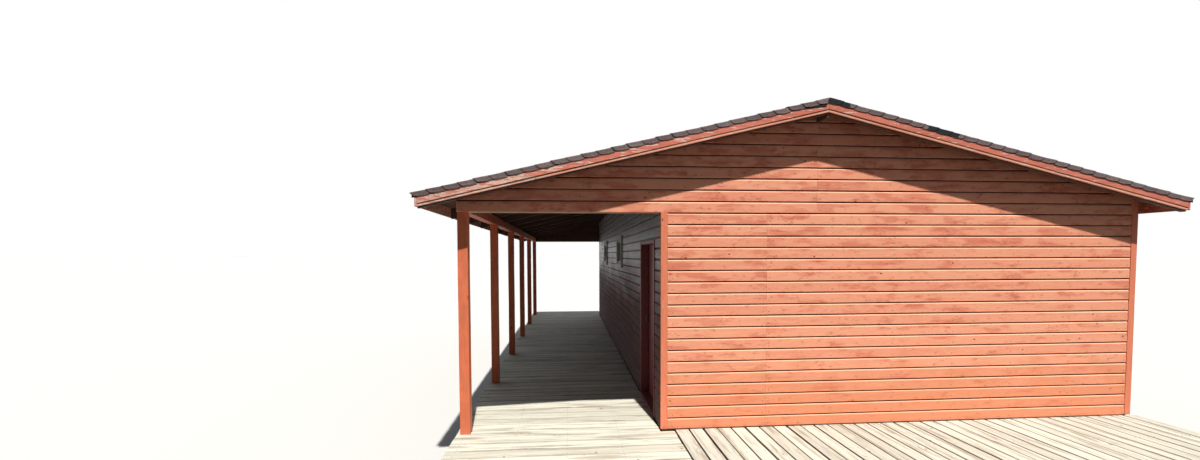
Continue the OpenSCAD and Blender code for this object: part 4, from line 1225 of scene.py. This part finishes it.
window = {"sash": 0.045, "bead": 0.008, "proud": 0.012, "back": 0.001}
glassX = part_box("window_glass")[0].x
for number, (low, high) in enumerate(windowBoxes, 1):
    bottom, top, *uprights = frameBoxes(low, high, casingWide, low.x, porchWallX, window["back"], 0.001, hair)
    wide = casingWide + hair
    sashes = frameBoxes(low + Vector((0, wide, wide)), high - Vector((0, wide, wide)), window["sash"] - hair,
                        porchWallX - window["proud"], high.x, window["back"])
    wide = casingWide + window["sash"]
    beads = frameBoxes(low + Vector((0, wide, wide)), high - Vector((0, wide, wide)), window["bead"],
                       glassX - 0.010, glassX - hair)
    casing = timberMesh([top, bottom, *uprights], bands=8, wander=0.0004, seed=250 + number)
    meshes = [casing, timberMesh(sashes), timberMesh(beads, edge=0.002)]
    finishPiece("window%d" % number, meshes, windowFinish,
                stands=("window_frame_%d" % number,), seed=252 + number)
print("door and windows made")

# Piles
pileLow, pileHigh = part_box("piles")
pile = {"radius": 0.0785, "sides": 20, "across": 5, "rows": 6, "half": 0.08, "wave": 0.0011}


def pileMesh(seed):
    chance = random.Random(seed)
    waves = [(chance.uniform(0, 6.28), chance.randint(2, 5)) for _ in range(4)]
    rings = []
    for share in (0.0, 0.02, 0.25, 0.5, 0.75, 0.97, 1.0):
        shrink = 0.985 if share in (0.0, 1.0) else 1.0
        z = share * (pileHigh.z - pileLow.z)
        ring = []
        for k in range(pile["sides"]):
            angle = 2 * math.pi * k / pile["sides"]
            wave = sum(math.sin(angle * count + phase + share * 1.3) for phase, count in waves) * pile["wave"]
            radius = (pile["radius"] - 0.004 + wave) * shrink
            ring.append((radius * math.cos(angle), radius * math.sin(angle), z))
        rings.append(ring)
    return stitchRings(rings)


pileX, pileY = pileHigh.x - pile["half"], pileHigh.y - pile["half"]
piles = layPattern(pileMesh(261), pileFinish, Matrix.Translation((-pileX, -pileY, 0)), Columns=pile["across"],
                   Rows=pile["rows"], Column_Step=(2 * pileX / (pile["across"] - 1), 0, 0),
                   Row_Step=(0, 2 * pileY / (pile["rows"] - 1), 0), Twist=(0, 0, math.pi), Seed=262)
finishPiece("roundPiles", [piles], pileFinish, stands=("piles",), seed=263)

# Finishes of the CAD pieces that stay
kept = {"bearers": frameFinishX, "noggings": frameFinishX, "joists": frameFinishY, "ridge_board": ridgeFinish,
        "rafters_porch_side": rafterFinish, "rafters_far_side": rafterFinish, "hinge_straps": ironFinish,
        "hinge_pins": ironFinish, "window_glass": glassFinish}
for node, finish in kept.items():
    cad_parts[node].data.materials.clear()
    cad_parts[node].data.materials.append(finish)

# Floor, light and camera
reach = 900
floorMesh = bpy.data.meshes.new("paleFloor")
floorMesh.from_pydata([(-reach, -reach, 0), (reach, -reach, 0), (reach, reach, 0), (-reach, reach, 0)],
                      [], [(0, 1, 2, 3)])
paleFloor = addObject("paleFloor", floorMesh)
floorPaint, tree, shader, _ = newMaterial("floorPaint")
floorColour = mixColour(tree, seenStraight(tree), (0.055, 0.055, 0.055), (0.54, 0.54, 0.54))
setSocket(tree, shader.inputs["Base Color"], floorColour)
shader.inputs["Roughness"].default_value = 0.95
shader.inputs["Specular IOR Level"].default_value = 0.1
floorMesh.materials.append(floorPaint)

sky, skyTint = 0.055, (0.86, 0.93, 1.0)
lamps = (("sun", 5.7, 66.5, 8, 1.0, (1.0, 0.965, 0.90)),
         ("softFill", 0.90, 32, 203, 80, skyTint), ("softFill", 0.55, 30, 82, 80, skyTint))
for name, strength, high, turn, soft, colour in lamps:
    lamp = addObject(name, bpy.data.lights.new(name, "SUN"))
    lamp.data.energy = strength
    lamp.data.angle = math.radians(soft)
    lamp.data.color = colour
    lamp.rotation_euler = (math.radians(90 - high), 0, math.radians(turn))

world = bpy.data.worlds.new("paleSky")
bpy.context.scene.world = world
world.use_nodes = True
tree = world.node_tree
tree.nodes.clear()
soft = addNode(tree, "ShaderNodeBackground", Color=(0.80, 0.88, 1.0, 1), Strength=sky)
white = addNode(tree, "ShaderNodeBackground", Color=(1, 1, 1, 1), Strength=1.0)
both = addNode(tree, "ShaderNodeMixShader", i0=seenStraight(tree), i1=soft.outputs[0], i2=white.outputs[0])
addNode(tree, "ShaderNodeOutputWorld", Surface=both.outputs[0])

view = {"place": (-2.546, -8.558, 2.318), "yaw": 4.085, "down": 2.058, "roll": -0.182, "focal": 433.0,
        "centreY": 271.646, "frameWide": 1200, "frameHigh": 460, "sensor": 36}
yaw, down, roll = (math.radians(view[key]) for key in ("yaw", "down", "roll"))
ahead = Vector((math.sin(yaw) * math.cos(down), math.cos(yaw) * math.cos(down), -math.sin(down)))
level = Vector((math.cos(yaw), -math.sin(yaw), 0))
rise = level.cross(ahead)
right = level * math.cos(roll) + rise * math.sin(roll)
upward = -level * math.sin(roll) + rise * math.cos(roll)
camera = addObject("camera", bpy.data.cameras.new("camera"))
camera.matrix_world = Matrix((right, upward, -ahead)).transposed().to_4x4()
camera.matrix_world.translation = view["place"]
camera.data.sensor_width = view["sensor"]
camera.data.lens = view["focal"] / view["frameWide"] * view["sensor"]
camera.data.shift_y = (view["centreY"] - view["frameHigh"] / 2) / view["frameWide"]
camera.data.clip_end = 3000
bpy.context.scene.camera = camera
bpy.context.scene.view_settings.view_transform = "Standard"
